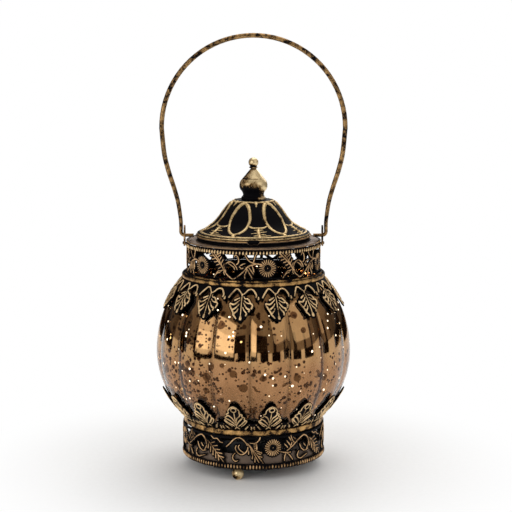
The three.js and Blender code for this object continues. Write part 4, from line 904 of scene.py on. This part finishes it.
finish_piece(upper_sheet, BODY, "antique_gold", "upper_leaf_apron")
upper_ridges = ridges("upper_leaf_veins", upper_strokes, on_upper, UPPER_LEAVES, stamped_iron)
finish_piece(upper_ridges, BODY, "antique_gold", "upper_leaf_apron")
lap_profile = [(46.6, 128.2), (47.2, 128.2), (47.6, 128.6), (47.75, 129.5), (47.6, 130.6),
               (47.2, 131.0), (46.6, 131.0)]
lap_bar = turned("upper_leaf_lap_bar", lap_profile, ring_iron, lifts=[-1, -0.4, 0.4, 0.7, 0.4, -0.4, -1])
finish_piece(lap_bar, BODY, "antique_gold", "upper_leaf_apron")

# Pierced collar: the same stamped sheet with heart-shaped vines, leaves and six flowers.
# Its upper edge is rolled into a row of upright beads under the top plate.

COLLAR_RADIUS = 45.0
COLLAR_LOW = 132.58
COLLAR_HEIGHT = 19.0
COLLAR_REPEATS = 6
COLLAR_FLOWER_AT = 13.0
COLLAR_FLOWER = (-0.9, 7.4)
collar_vines = [
    stroke([(-39.9, 16.8), (-35.5, 12.7), (-32.1, 9), (-29.6, 5.6), (-27.9, 3.1)], 0.5, 0.4),
    stroke([(-39.1, 17.9), (-34.7, 13.6), (-31.1, 8.4), (-28.4, 5.2)], 0.36, 0.36),
    stroke([(-29.3, 2.7), (-30, 4.3), (-29.4, 7.9), (-28.2, 10.3), (-25.8, 11.4), (-23.4, 10.5), (-21.4, 8),
            (-20.8, 6.4)], 0.5, 0.42),
    stroke([(-29.4, 7.9), (-28.6, 4.1), (-26.1, 1.6), (-23.8, 0.3), (-20.8, 1.9), (-16.8, 5.2),
            (-13.6, 8.7), (-10.4, 9.8), (-7.2, 10.5), (-4.7, 9.1)], 0.5, 0.45),
    stroke([(-26.8, 10.3), (-23.4, 8.3), (-22.4, 6.4)], 0.4, 0.36),
    stroke([(-22.7, 14.4), (-22.1, 15.9), (-20.7, 15.2), (-19.8, 12.9), (-20.1, 11),
            (-21.4, 9.6)], 0.36, 0.5),
    stroke([(-15.8, 16.4), (-14.6, 14.3), (-12.7, 12.1), (-9.8, 10.8), (-6.6, 10.1)], 0.42, 0.5),
    stroke([(-8.5, 16.4), (-9.3, 14.4), (-10.1, 11.5)], 0.42, 0.4),
    stroke([(-14.3, 7.9), (-14.9, 5.3), (-15.9, 2.7), (-15.6, 0.6)], 0.34, 0.55),
    stroke([(-14.3, 7.2), (-13, 4.7), (-11.4, 1.8), (-11.1, 0.4)], 0.34, 0.55),
    stroke([(-13.3, 8.2), (-11.7, 6), (-10.1, 3.7)], 0.34, 0.5),
    stroke([(-11.1, 9.2), (-10.1, 6.6), (-9.8, 5)], 0.34, 0.5),
    stroke([(-37.5, 0.4), (-36.7, 1.8), (-34.8, 3.6), (-32.5, 4.1)], 0.36, 0.45),
    stroke([(-36, 2.9), (-34, 5), (-31.8, 4.8)], 0.36, 0.36),
    stroke([(-18.8, 9.1), (-17.2, 10.1), (-15.5, 10.6)], 0.34, 0.42),
    stroke([(-19.4, 8.7), (-18.1, 7.2), (-16.8, 7.8)], 0.34, 0.42),
]
collar_vines += teeth([
    ((-36, 15), (-33, 16.6)), ((-34.8, 13.7), (-32.4, 15.6)), ((-33.4, 11.8), (-31.6, 14.4)),
    ((-32, 9.8), (-30.4, 12.6)), ((-30.6, 8), (-29.6, 10))], 0.32, 0.5)
collar_vines += teeth([
    ((-37.9, 14.6), (-40.4, 14.4)), ((-36.2, 13), (-39, 12.2)), ((-34.4, 11.2), (-37.2, 10.6)),
    ((-33, 9.6), (-35.6, 8.6)), ((-31.6, 7.9), (-34, 6.6)), ((-30.2, 6), (-32.4, 5.2))], 0.34, 0.55)
collar_vines += flower(*COLLAR_FLOWER, 5.9, 22)
collar_rails = [(0.2, 0.35), (17.5, 1.0)]
collar_sheet, collar_lines = pierced_band(
    "collar", (COLLAR_RADIUS, COLLAR_LOW, COLLAR_HEIGHT), COLLAR_FLOWER_AT, COLLAR_REPEATS,
    collar_vines, collar_rails, COLLAR_FLOWER, margin=0.5, cell=0.5)
finish_piece(collar_sheet, BODY, "antique_gold", "collar_band")
finish_piece(collar_lines, BODY, "antique_gold", "collar_band")
COLLAR_BEADS = 128
collar_beads = beading("collar_beading", COLLAR_RADIUS - LINE_RISE, COLLAR_LOW + 17.2, COLLAR_BEADS,
                       (0.72, 0.8, 1.35), stamped_iron, lean=0.1)
finish_piece(collar_beads, BODY, "antique_gold", "collar_band")

# Top plate with its neck: spun iron with a rolled edge, left in a grey-brown patina.
# The gold is worn onto the lip of the neck and onto the rolled edge, which hands and the lid rub.
# The lid sits in the neck; the lip has a notch at the front for the lid's tab.

plate_iron = rubbed_patina(
    "spun_iron_grey_brown_patina", ("#5b4c42", "#8a7460"),
    bias=0.55, patch=1.2, patch_mm=9, roughness=0.5)
plate_profile = [
    (44.1, 151.9), (44.6, 151.95), (44.78, 152.25), (44.7, 152.6), (44.2, 152.68), (43.2, 152.5),
    (42.6, 152.62), (38.4, 152.68), (37.6, 152.9), (37.42, 153.4), (37.42, 154.9), (37.9, 155.05),
    (38.25, 155.3), (38.3, 155.75), (38.0, 156.15), (37.4, 156.28), (36.7, 156.2), (36.62, 155.6),
    (36.62, 151.9)]
plate_lift = [-0.6, 0.1, 0.7, 0.3, -0.1, -0.6, 0, 0, -0.9, -1, -0.8, -0.2, 0.5, 0.9, 0.6, 0.2, -0.8, -1, -1]
top_plate = turned("collar_top_plate_spun", plate_profile, plate_iron, steps=240, lifts=plate_lift)
NOTCH_HALF = 3.75
NOTCH_FLOOR = 154.28
NOTCH_LEFT_OVER = 0.02  # of what stood above the notch's floor
for vertex in top_plate.data.vertices:
    if abs(vertex.co.x) < NOTCH_HALF * MM and vertex.co.y < 0 and vertex.co.z > NOTCH_FLOOR * MM:
        vertex.co.z = NOTCH_FLOOR * MM + (vertex.co.z - NOTCH_FLOOR * MM) * NOTCH_LEFT_OVER
finish_piece(top_plate, BODY, "patina_plate", "collar_top_plate")

WORN_EDGES = [(38.0, 155.9), (44.3, 152.4)]  # radius and height of the lip and of the rolled edge
NOTCH_BEARING = 6.4  # degrees from the front to where the worn lip ends, on each side


def on_plate(bearing, edge):
    """A place on a worn edge of the plate, at a bearing in degrees."""
    turn = math.radians(bearing)
    return around(turn, *WORN_EDGES[edge]), (math.sin(turn), -math.cos(turn), 0.0)


lip_line = [(bearing, 0) for bearing in np.linspace(NOTCH_BEARING, 360 - NOTCH_BEARING, 120)]
edge_line = [(bearing, 1) for bearing in np.linspace(0, 360, 121)]
worn_edges = ridges("collar_top_plate_worn_edges", [(lip_line, 0.42, 0.42), (edge_line, 0.5, 0.5)],
                    on_plate, 1, ring_iron, sink=0.0)
finish_piece(worn_edges, BODY, "antique_gold", "collar_top_plate")

# Ears and bail: a bent iron wire hooked through two riveted ears, so that it swings over the top.
# Its dark patina is worn to gold-brown along the wire, with black specks left in the pits.

wire_iron = rubbed_patina(
    "bent_iron_wire_worn_patina", ("#4a3724", "#b08c5c"),
    bias=-0.35, patch=3.4, patch_mm=3)
ear_iron = rubbed_patina(
    "cut_iron_strip_worn_patina", ("#4f3b28", "#c09a6c"),
    bias=0.3, patch=3.0, patch_mm=4)


def paint(node_name, material):
    """Gives a CAD node that keeps its shape its material."""
    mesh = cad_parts[node_name].data
    mesh.materials.clear()
    mesh.materials.append(material)


for side in ("left", "right"):
    paint("ear_" + side, ear_iron)
    paint("ear_rivet_" + side, stamped_iron)

PIVOT_Z = 155.48
WIRE_X = 48.2
WIRE_RADIUS = 1.58
ARCH_RADIUS = 60.5
ARCH_RISE = 71.2
HOOK_BEND = 2.4
STUB_TIP = 39.8
hook = [(STUB_TIP, 0), (43, 0), (WIRE_X - HOOK_BEND, 0)]
hook += [(WIRE_X - HOOK_BEND * (1 - math.sin(t)), HOOK_BEND * (1 - math.cos(t))) for t in (0.4, 0.8, 1.2)]
leg = smooth([(WIRE_X, HOOK_BEND), (WIRE_X, 9), (49.1, 16.5), (50.4, 24), (53, 33), (56.2, 43),
              (58.9, 54.5), (ARCH_RADIUS, ARCH_RISE)], 5)
arch = [(ARCH_RADIUS * math.cos(t), ARCH_RISE + ARCH_RADIUS * math.sin(t))
        for t in np.linspace(0, math.pi / 2, 22)[1:]]
bail_half = hook + [tuple(p) for p in leg] + arch
bail_line = bail_half + [(-x, z) for x, z in reversed(bail_half[:-1])]


def on_bail(x, z):
    """A place on the upright bail, over its pivot, with its front as the outside."""
    return (x, 0.0, PIVOT_Z + z), (0.0, -1.0, 0.0)


bail = ridges("bail_wire", [(bail_line, WIRE_RADIUS, WIRE_RADIUS)], on_bail, 1, wire_iron,
              sides=16, sink=0.0)
worn = bail.data.attributes["lift"].data
worn.foreach_set("value", np.full(len(worn), 0.9, dtype=np.float32))  # worn alike all round the wire
finish_piece(bail, "bail", "aged_wire", "bail_handle")

# Lid: a flared dome pressed from thin sheet, with six raised ovals and ribs between them.
# It drops into the neck, and its rim rests on the neck's lip.

LID_SEAT = 156.58
LID_HEIGHT = 23.0
LID_SKIRT_RADIUS = 36.3
lid_iron = rubbed_patina(
    "pressed_iron_black_patina_rubbed_gold", ("#7c5c34", "#ecd09a"),
    bias=0.0, patch=2.2, patch_mm=3)
LID_SHEET = 0.8  # upright; it is 0.6 across
lid_shares = [(0.97, 0.075), (0.84, 0.19), (0.705, 0.355), (0.56, 0.645), (0.47, 0.81), (0.38, 0.955),
              (0.33, 0.995)]
dome_line = smooth([(LID_SKIRT_RADIUS * w, LID_SEAT + LID_HEIGHT * h) for w, h in lid_shares], 6)
dome_line = [tuple(p) for p in dome_line]
LID_TOP = LID_SEAT + LID_HEIGHT
STUD_HOLE = 2.3
outer_line = [(LID_SKIRT_RADIUS, 150.1), (LID_SKIRT_RADIUS, 156.5), (37.2, 156.62), (37.5, 157.0),
              (37.4, 157.6), (36.6, 157.9)] + dome_line + [(11.2, LID_TOP), (STUD_HOLE, LID_TOP)]
inner_line = [(STUD_HOLE, LID_TOP - LID_SHEET)]
inner_line += [(r - 0.6, z - LID_SHEET) for r, z in reversed(dome_line)] + [(35.5, 156.8), (35.5, 150.1)]
lid_lift = [-1, -1, 0.2, 0.9, 0.4, -0.6] + [-0.8] * len(dome_line) + [-0.8, -0.8] + [-1] * len(inner_line)
lid = turned("lid_dome_pressed", outer_line + inner_line, lid_iron, lifts=lid_lift)
finish_piece(lid, "lid", "antique_gold", "lid_dome")

dome_radii = np.array([p[0] for p in dome_line])
dome_heights = np.array([p[1] for p in dome_line])
LID_OVAL_AT = -23.0


def on_dome(degrees, share):
    """A place on the dome: degrees from the middle of an oval, and the share of the way up it."""
    height = dome_heights[0] + (dome_heights[-1] - dome_heights[0]) * share
    radius = float(np.interp(height, dome_heights, dome_radii))
    step = 0.6
    slope = float(np.interp(height + step, dome_heights, dome_radii)
                  - np.interp(height - step, dome_heights, dome_radii)) / (2 * step)
    bearing = math.radians(LID_OVAL_AT + degrees)
    level = math.hypot(1.0, slope)
    out = (math.sin(bearing) / level, -math.cos(bearing) / level, -slope / level)
    return around(bearing, radius, height), out


oval = [(0, 0.95), (9, 0.9), (15.5, 0.74), (17.5, 0.52), (14.5, 0.3), (9, 0.15), (0, 0.07), (-9, 0.15),
        (-14.5, 0.3), (-17.5, 0.52), (-15.5, 0.74), (-9, 0.9)]
dome_strokes = [
    stroke(oval + oval[:1], 1.1),
    stroke([(-16.5, 0.42), (-17, 0.55), (-15, 0.74), (-9, 0.89), (-1, 0.94)], 1.1, 1.9),
    stroke([(16.5, 0.42), (17, 0.55), (15, 0.74), (9, 0.89), (1, 0.94)], 1.0, 1.7),
    stroke([(0, 0.08), (0, 0.04), (0, 0.0)], 1.3, 1.7, 3),
    stroke([(16.5, 0.3), (22, 0.26), (30, 0.25), (38, 0.26), (43.5, 0.3)], 0.75, 0.75),
    stroke([(30, 0.25), (29.4, 0.14), (30, 0.0)], 1.1, 1.6),
    stroke([(30, 0.99), (30, 0.93), (29.6, 0.84)], 0.95, 0.5),
    stroke([(26.4, 0.99), (27.4, 0.92)], 0.5, 0.36),
    stroke([(33.6, 0.99), (32.6, 0.91)], 0.5, 0.36),
]
dome_strokes += teeth([
    ((29.4, 0.19), (24, 0.2)), ((29.2, 0.12), (20, 0.11)), ((29, 0.06), (23, 0.05)),
    ((30.6, 0.2), (36, 0.2)), ((30.8, 0.14), (40, 0.15)), ((31, 0.09), (38, 0.08)),
    ((31, 0.04), (43, 0.05))], 0.6, 0.3)
for rail_share, width in ((0.0, 0.9), (0.97, 0.85)):
    dome_strokes.append(([(d, rail_share) for d in range(-30, 31, 5)], width, width))
LID_REPEATS = 6
dome_ridges = ridges("lid_dome_relief", dome_strokes, on_dome, LID_REPEATS, lid_iron, sink=0.45)
finish_piece(dome_ridges, "lid", "antique_gold", "lid_dome")


def lofted(name, sections, **attributes):
    """A solid through closed sections of like points, with its two ends closed."""
    count = len(sections[0])
    points = [spot for section in sections for spot in section]
    faces = []
    for first in range(0, len(points) - count, count):
        for i in range(count):
            k = (i + 1) % count
            faces.append((first + i, first + k, first + count + k, first + count + i))
    faces += [tuple(reversed(range(count))), tuple(range(len(points) - count, len(points)))]
    return object_from(name, points, faces=faces, **attributes)


TAB_HALF = 3.2
TAB_BEND = 0.012  # per mm, so that it follows the round rim
tab_side = [(36.6, 157.2), (37.6, 157.3), (38.0, 156.9), (38.0, 155.2), (37.7, 154.7), (37.3, 154.7),
            (37.2, 155.2), (37.2, 156.6), (36.6, 156.6)]
tab_across = [-TAB_HALF, -TAB_HALF + 0.4, 0.0, TAB_HALF - 0.4, TAB_HALF]
tab_sections = [[(x, -(r - x * x * TAB_BEND), z) for r, z in tab_side] for x in tab_across]
tab = lofted("lid_tab_bent", tab_sections, lift=[-0.6] * len(tab_side) * len(tab_across))
tab.data.materials.append(lid_iron)
finish_piece(tab, "lid", "antique_gold", "lid_dome")

# Finial: a turned onion and ball in brass-coloured metal, screwed through the lid into its nut.
# The gold is rubbed onto its crests and painted lighter there, a painted highlight, and the patina stays
# black in the waist.

knob_brass = rubbed_patina(
    "turned_knob_patina_rubbed_gold", ("#8c6636", "#f0d8a8"),
    bias=-0.1, patch=6.5, patch_mm=10.5, roughness=0.3)
FINIAL_FOOT = 179.88
FINIAL_HEIGHT = 27.6
FINIAL_RADIUS = 9.3
# Each point is a share of the radius, a share of the height, and how far it stands up.
finial_shape = [
    (0.88, 0, -1), (0.86, 0.04, -0.9), (0.74, 0.1, -1), (0.82, 0.18, -0.8), (0.95, 0.24, 0),
    (1, 0.32, 0.6), (0.95, 0.41, 0.8), (0.81, 0.48, 0.7), (0.77, 0.495, -0.6), (0.73, 0.51, 0.5),
    (0.58, 0.57, 0.7), (0.4, 0.645, 0.8), (0.26, 0.7, 0.5), (0.2, 0.73, -0.6), (0.31, 0.75, 0.4),
    (0.24, 0.785, -0.8), (0.31, 0.82, 0.1), (0.35, 0.87, 0.7), (0.33, 0.92, 0.9), (0.22, 0.97, 0.9),
    (0, 0.998, 0.9)]
finial_curve = smooth(
    [(w * FINIAL_RADIUS, FINIAL_FOOT + h * FINIAL_HEIGHT, lift) for w, h, lift in finial_shape], 4)
stud = [(0.0, FINIAL_FOOT - 5.5), (2.0, FINIAL_FOOT - 5.5), (2.0, FINIAL_FOOT)]
finial_profile = stud + [(max(0.0, p[0]), p[1]) for p in finial_curve]
finial_lift = [-1, -1, -1] + [p[2] for p in finial_curve]
finial = turned("finial_turned", finial_profile, knob_brass, steps=48, lifts=finial_lift)
RIGHT_SIDE_LIFT = 1.1  # lift added at the right side and taken off at the left, so that more gold shows on the right
for vertex, lift in zip(finial.data.vertices, finial.data.attributes["lift"].data):
    lift.value += RIGHT_SIDE_LIFT * vertex.co.x / (FINIAL_RADIUS * MM)
finish_piece(finial, "lid", "antique_gold", "finial")

# Feet: three small turned balls in the same brass-coloured metal as the finial.
# Each has a threaded stud that goes up through the base plate into a nut.

FOOT_RADIUS = 4.0
FOOT_CENTRE = 3.7
FOOT_STUD_RADIUS = 1.5
FOOT_STUD_TOP = 12.3
FOOT_RINGS = 14


def ball_foot(name, node):
    """A foot in the place of its CAD node, its ball cut flat where it stands."""
    low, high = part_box(node)
    x, y = ((low[i] + high[i]) / 2 / MM for i in (0, 1))
    tilts = np.linspace(
        math.asin(-FOOT_CENTRE / FOOT_RADIUS), math.acos(FOOT_STUD_RADIUS / FOOT_RADIUS), FOOT_RINGS)
    ball = [(FOOT_RADIUS * math.cos(t), FOOT_CENTRE + FOOT_RADIUS * math.sin(t)) for t in tilts]
    profile = [(0.0, 0.0), *ball, (FOOT_STUD_RADIUS, FOOT_STUD_TOP), (0.0, FOOT_STUD_TOP)]
    piece = turned(name, profile, knob_brass, steps=32, lifts=[-0.5] + [0.9] * FOOT_RINGS + [-1, -1])
    piece.data.transform(Matrix.Translation((x * MM, y * MM, 0)))
    return piece


for number in (1, 2, 3):
    foot = ball_foot(f"ball_foot_{number}", f"foot_{number}")
    finish_piece(foot, BODY, "antique_gold", f"foot_{number}")

# Parts that keep their CAD shape, all of them inside or underneath the lantern: the base plate, nuts,
# screws, battery box, cells, contacts and the LED string, in zinc-plated steel, black plastic and so on.


def plain_finish(name, colour, other, metallic, roughness, cell_mm, strength=0.0, glow=None):
    """A plain finish with a slight drift of tone and a fine grain of a real size in mm."""
    material, tree = new_material(name)
    place = add(tree, "ShaderNodeTexCoord").outputs["Object"]
    drift = add(tree, "ShaderNodeTexNoise", {
        "Vector": place, "Scale": 1 / (cell_mm * MM), "Detail": 3.0}).outputs["Fac"]
    grain = add(tree, "ShaderNodeTexNoise", {
        "Vector": place, "Scale": 1 / (0.5 * MM), "Detail": 2.0}).outputs["Fac"]
    tone = add(tree, "ShaderNodeMix", {0: drift, 6: linear(colour), 7: linear(other)},
               data_type="RGBA").outputs[2]
    rough = add(tree, "ShaderNodeMapRange", {
        "Value": grain, "To Min": roughness - 0.08, "To Max": roughness + 0.08}).outputs["Result"]
    bump = add(tree, "ShaderNodeBump", {
        "Height": grain, "Strength": 0.2, "Distance": 0.06 * MM}).outputs["Normal"]
    sockets = {"Base Color": tone, "Metallic": metallic, "Roughness": rough, "Normal": bump}
    if glow:
        sockets["Emission Color"] = linear(glow)
        sockets["Emission Strength"] = strength
    shader = add(tree, "ShaderNodeBsdfPrincipled", sockets)
    add(tree, "ShaderNodeOutputMaterial", {"Surface": shader.outputs[0]})
    return material


zinc = plain_finish("zinc_plated_steel", "#a9abad", "#c3c4c2", 1.0, 0.34, 4)
abs_plastic = plain_finish("moulded_black_abs", "#121214", "#1b1b1d", 0.0, 0.5, 6)
nbr_rubber = plain_finish("moulded_nbr_rubber", "#161616", "#202020", 0.0, 0.8, 3)
shrink_wrap = plain_finish("printed_shrink_wrap_plain", "#2b3440", "#3a4552", 0.1, 0.35, 8)
enamelled_copper = plain_finish("enamelled_copper_wire", "#9a5a2c", "#c07a44", 0.9, 0.35, 3)
led_resin = plain_finish(
    "clear_resin_over_warm_led", "#ffe7bd", "#fff2d8", 0.0, 0.2, 2, strength=14.0, glow="#ffd79a")
pan_iron = plain_finish("drawn_iron_grey_brown_patina", "#57493f", "#7d6a5a", 0.55, 0.5, 11)
kept = {
    pan_iron: ["base_plate"],
    zinc: ["foot_nut_1", "foot_nut_2", "foot_nut_3", "finial_nut", "contact_spring_1", "contact_spring_2",
           "contact_plate_1", "contact_plate_2", "box_screw_1", "box_screw_2"],
    abs_plastic: ["battery_box", "battery_door", "switch_body", "switch_slider"],
    nbr_rubber: ["wire_grommet"],
    shrink_wrap: ["battery_cell_1", "battery_cell_2"],
    enamelled_copper: ["led_wire"],
    led_resin: [f"led_{number:02d}" for number in range(1, 18)],
}
for material, names in kept.items():
    for node_name in names:
        paint(node_name, material)

# Studio: white paper that fades into a white background, large soft boxes and a camera at the photo's
# angle. Dark and grey cards stand far behind the lamps, where only the mirror of the glass sees them.

scene = bpy.context.scene
scene.view_settings.view_transform = "Standard"


def background_ray(tree):
    """One where a camera, mirror or glass ray sees the background, nought for the light on the object."""
    path = add(tree, "ShaderNodeLightPath")
    seen = add(tree, "ShaderNodeMath", {0: path.outputs["Is Camera Ray"], 1: path.outputs["Is Glossy Ray"]},
               operation="MAXIMUM").outputs[0]
    return add(tree, "ShaderNodeMath", {0: seen, 1: path.outputs["Is Transmission Ray"]},
               operation="MAXIMUM").outputs[0]


world = bpy.data.worlds.new("white_sweep")
scene.world = world
world.use_nodes = True
world.node_tree.nodes.clear()
lit = add(world.node_tree, "ShaderNodeBackground", {"Color": (1.0, 1.0, 1.0, 1.0), "Strength": 0.55})
seen_white = add(world.node_tree, "ShaderNodeBackground", {"Color": (1.0, 1.0, 1.0, 1.0), "Strength": 1.0})
sweep = add(world.node_tree, "ShaderNodeMixShader",
            {0: background_ray(world.node_tree), 1: lit.outputs[0], 2: seen_white.outputs[0]})
add(world.node_tree, "ShaderNodeOutputWorld", {"Surface": sweep.outputs[0]})

FLOOR_RADIUS = 900.0


def pale_floor():
    """White paper: matt and plain. It turns to the background's own white away from the lantern."""
    material, tree = new_material("white_paper_sweep")
    place = add(tree, "ShaderNodeTexCoord").outputs["Object"]
    fibre = add(tree, "ShaderNodeTexNoise", {"Vector": place, "Scale": 1 / (3 * MM), "Detail": 2.0})
    tone = add(tree, "ShaderNodeMix", {0: fibre.outputs["Fac"], 6: linear("#f4f3f2"), 7: linear("#fbfbfa")},
               data_type="RGBA")
    paper = add(tree, "ShaderNodeBsdfDiffuse", {"Color": tone.outputs[2]})
    glow = add(tree, "ShaderNodeEmission", {"Color": (1.0, 1.0, 1.0, 1.0), "Strength": 1.0})
    reach = add(tree, "ShaderNodeVectorMath", {0: place}, operation="LENGTH").outputs["Value"]
    far = add(tree, "ShaderNodeMapRange", {"Value": reach, "From Min": 0.09, "From Max": 0.2},
              interpolation_type="SMOOTHSTEP").outputs["Result"]
    share = add(tree, "ShaderNodeMath", {0: far, 1: background_ray(tree)}, operation="MULTIPLY").outputs[0]
    shader = add(tree, "ShaderNodeMixShader", {0: share, 1: paper.outputs[0], 2: glow.outputs[0]})
    add(tree, "ShaderNodeOutputMaterial", {"Surface": shader.outputs[0]})
    return material


floor = turned("studio_floor", [(0.0, 0.0), (60.0, 0.0), (200.0, 0.0), (FLOOR_RADIUS, 0.0),
                                (FLOOR_RADIUS, -5.0), (0.0, -5.0)], pale_floor(), steps=96)

CARD_THICKNESS = 10.0
CARD_LOW = -420.0
CARD_SILL = 165.0
CARD_LINTEL = 640.0
CARD_HIGH = 6000.0


def mirrored_card(name, bearings, low, high, tone, radius):
    """A round-bent card that only mirror and glass rays see; between the cards they see white."""
    material, tree = new_material(name + "_paint")
    place = add(tree, "ShaderNodeTexCoord").outputs["Object"]
    drift = add(tree, "ShaderNodeTexNoise", {"Vector": place, "Scale": 2.0, "Detail": 1.0}).outputs["Fac"]
    colour = add(tree, "ShaderNodeMix", {0: drift, 6: linear(tone[0]), 7: linear(tone[1])},
                 data_type="RGBA").outputs[2]
    glow = add(tree, "ShaderNodeEmission", {"Color": colour, "Strength": 1.0})
    add(tree, "ShaderNodeOutputMaterial", {"Surface": glow.outputs[0]})
    steps = max(2, round(abs(bearings[1] - bearings[0]) / 6))
    back = radius + CARD_THICKNESS
    side = [(radius, low), (radius, high), (back, high), (back, low)]
    sections = [[around(math.radians(b), r, z) for r, z in side] for b in np.linspace(*bearings, steps)]
    card = lofted(name, sections)
    card.data.materials.append(material)
    for ray in ("camera", "diffuse", "shadow", "volume_scatter"):
        setattr(card, "visible_" + ray, False)


cards = [
    ("low", CARD_LOW, CARD_SILL, ("#0c0a0a", "#241c18"), 1500.0,
     [(-178, -100), (-72, -14), (-6, 14), (24, 46), (56, 84), (110, 178)]),
    ("side", CARD_SILL, CARD_LINTEL, ("#17120f", "#3a302a"), 1500.0,
     [(-74, -66), (-16, 12), (28, 36), (56, 62), (78, 84)]),
    ("grey", CARD_SILL, CARD_LINTEL, ("#7c746e", "#a49c96"), 1540.0,
     [(-96, -74), (12, 28), (36, 56), (62, 78), (84, 96)]),
    ("behind", CARD_SILL, CARD_LINTEL, ("#463e38", "#746c64"), 1540.0, [(-178, -96), (96, 178)]),
]
for row, low, high, tone, radius, spans in cards:
    for number, bearings in enumerate(spans):
        mirrored_card(f"card_{row}_{number}", bearings, low, high, tone, radius)
mirrored_card("card_high", (-178, 178), CARD_LINTEL, CARD_HIGH, ("#6c645e", "#b0a8a0"), 1560.0)


def soft_box(name, bearing, distance, height, size, watts):
    """A soft box at a bearing in degrees from the front, facing the lantern."""
    light = bpy.data.lights.new(name, "AREA")
    light.shape = "RECTANGLE"
    light.size, light.size_y = size
    light.energy = watts
    lamp = bpy.data.objects.new(name, light)
    scene.collection.objects.link(lamp)
    lamp.location = Vector(around(math.radians(bearing), distance, height)) * MM
    aim = Vector((0, 0, 0.12)) - lamp.location
    lamp.rotation_euler = aim.to_track_quat("-Z", "Y").to_euler()


soft_box("soft_box_left", -42, 1200, 440, (1.2, 0.8), 3.6)
soft_box("soft_box_right", 54, 1200, 760, (1.2, 0.9), 2.0)
soft_box("soft_box_top", 165, 380, 1300, (1.0, 1.0), 6.0)
soft_box("soft_box_back", 165, 1200, 700, (1.0, 0.7), 4.0)

CAMERA_PITCH = 81.4  # degrees from straight down
CAMERA_LENS = 109.76
CAMERA_AT = (0.0017, -1.0293, 0.2971)
camera_data = bpy.data.cameras.new("photo_camera")
camera_data.lens = CAMERA_LENS
camera_data.sensor_width = 36.0
camera = bpy.data.objects.new("photo_camera", camera_data)
camera.location = CAMERA_AT
camera.rotation_euler = (math.radians(CAMERA_PITCH), 0.0, 0.0)
scene.collection.objects.link(camera)
scene.camera = camera
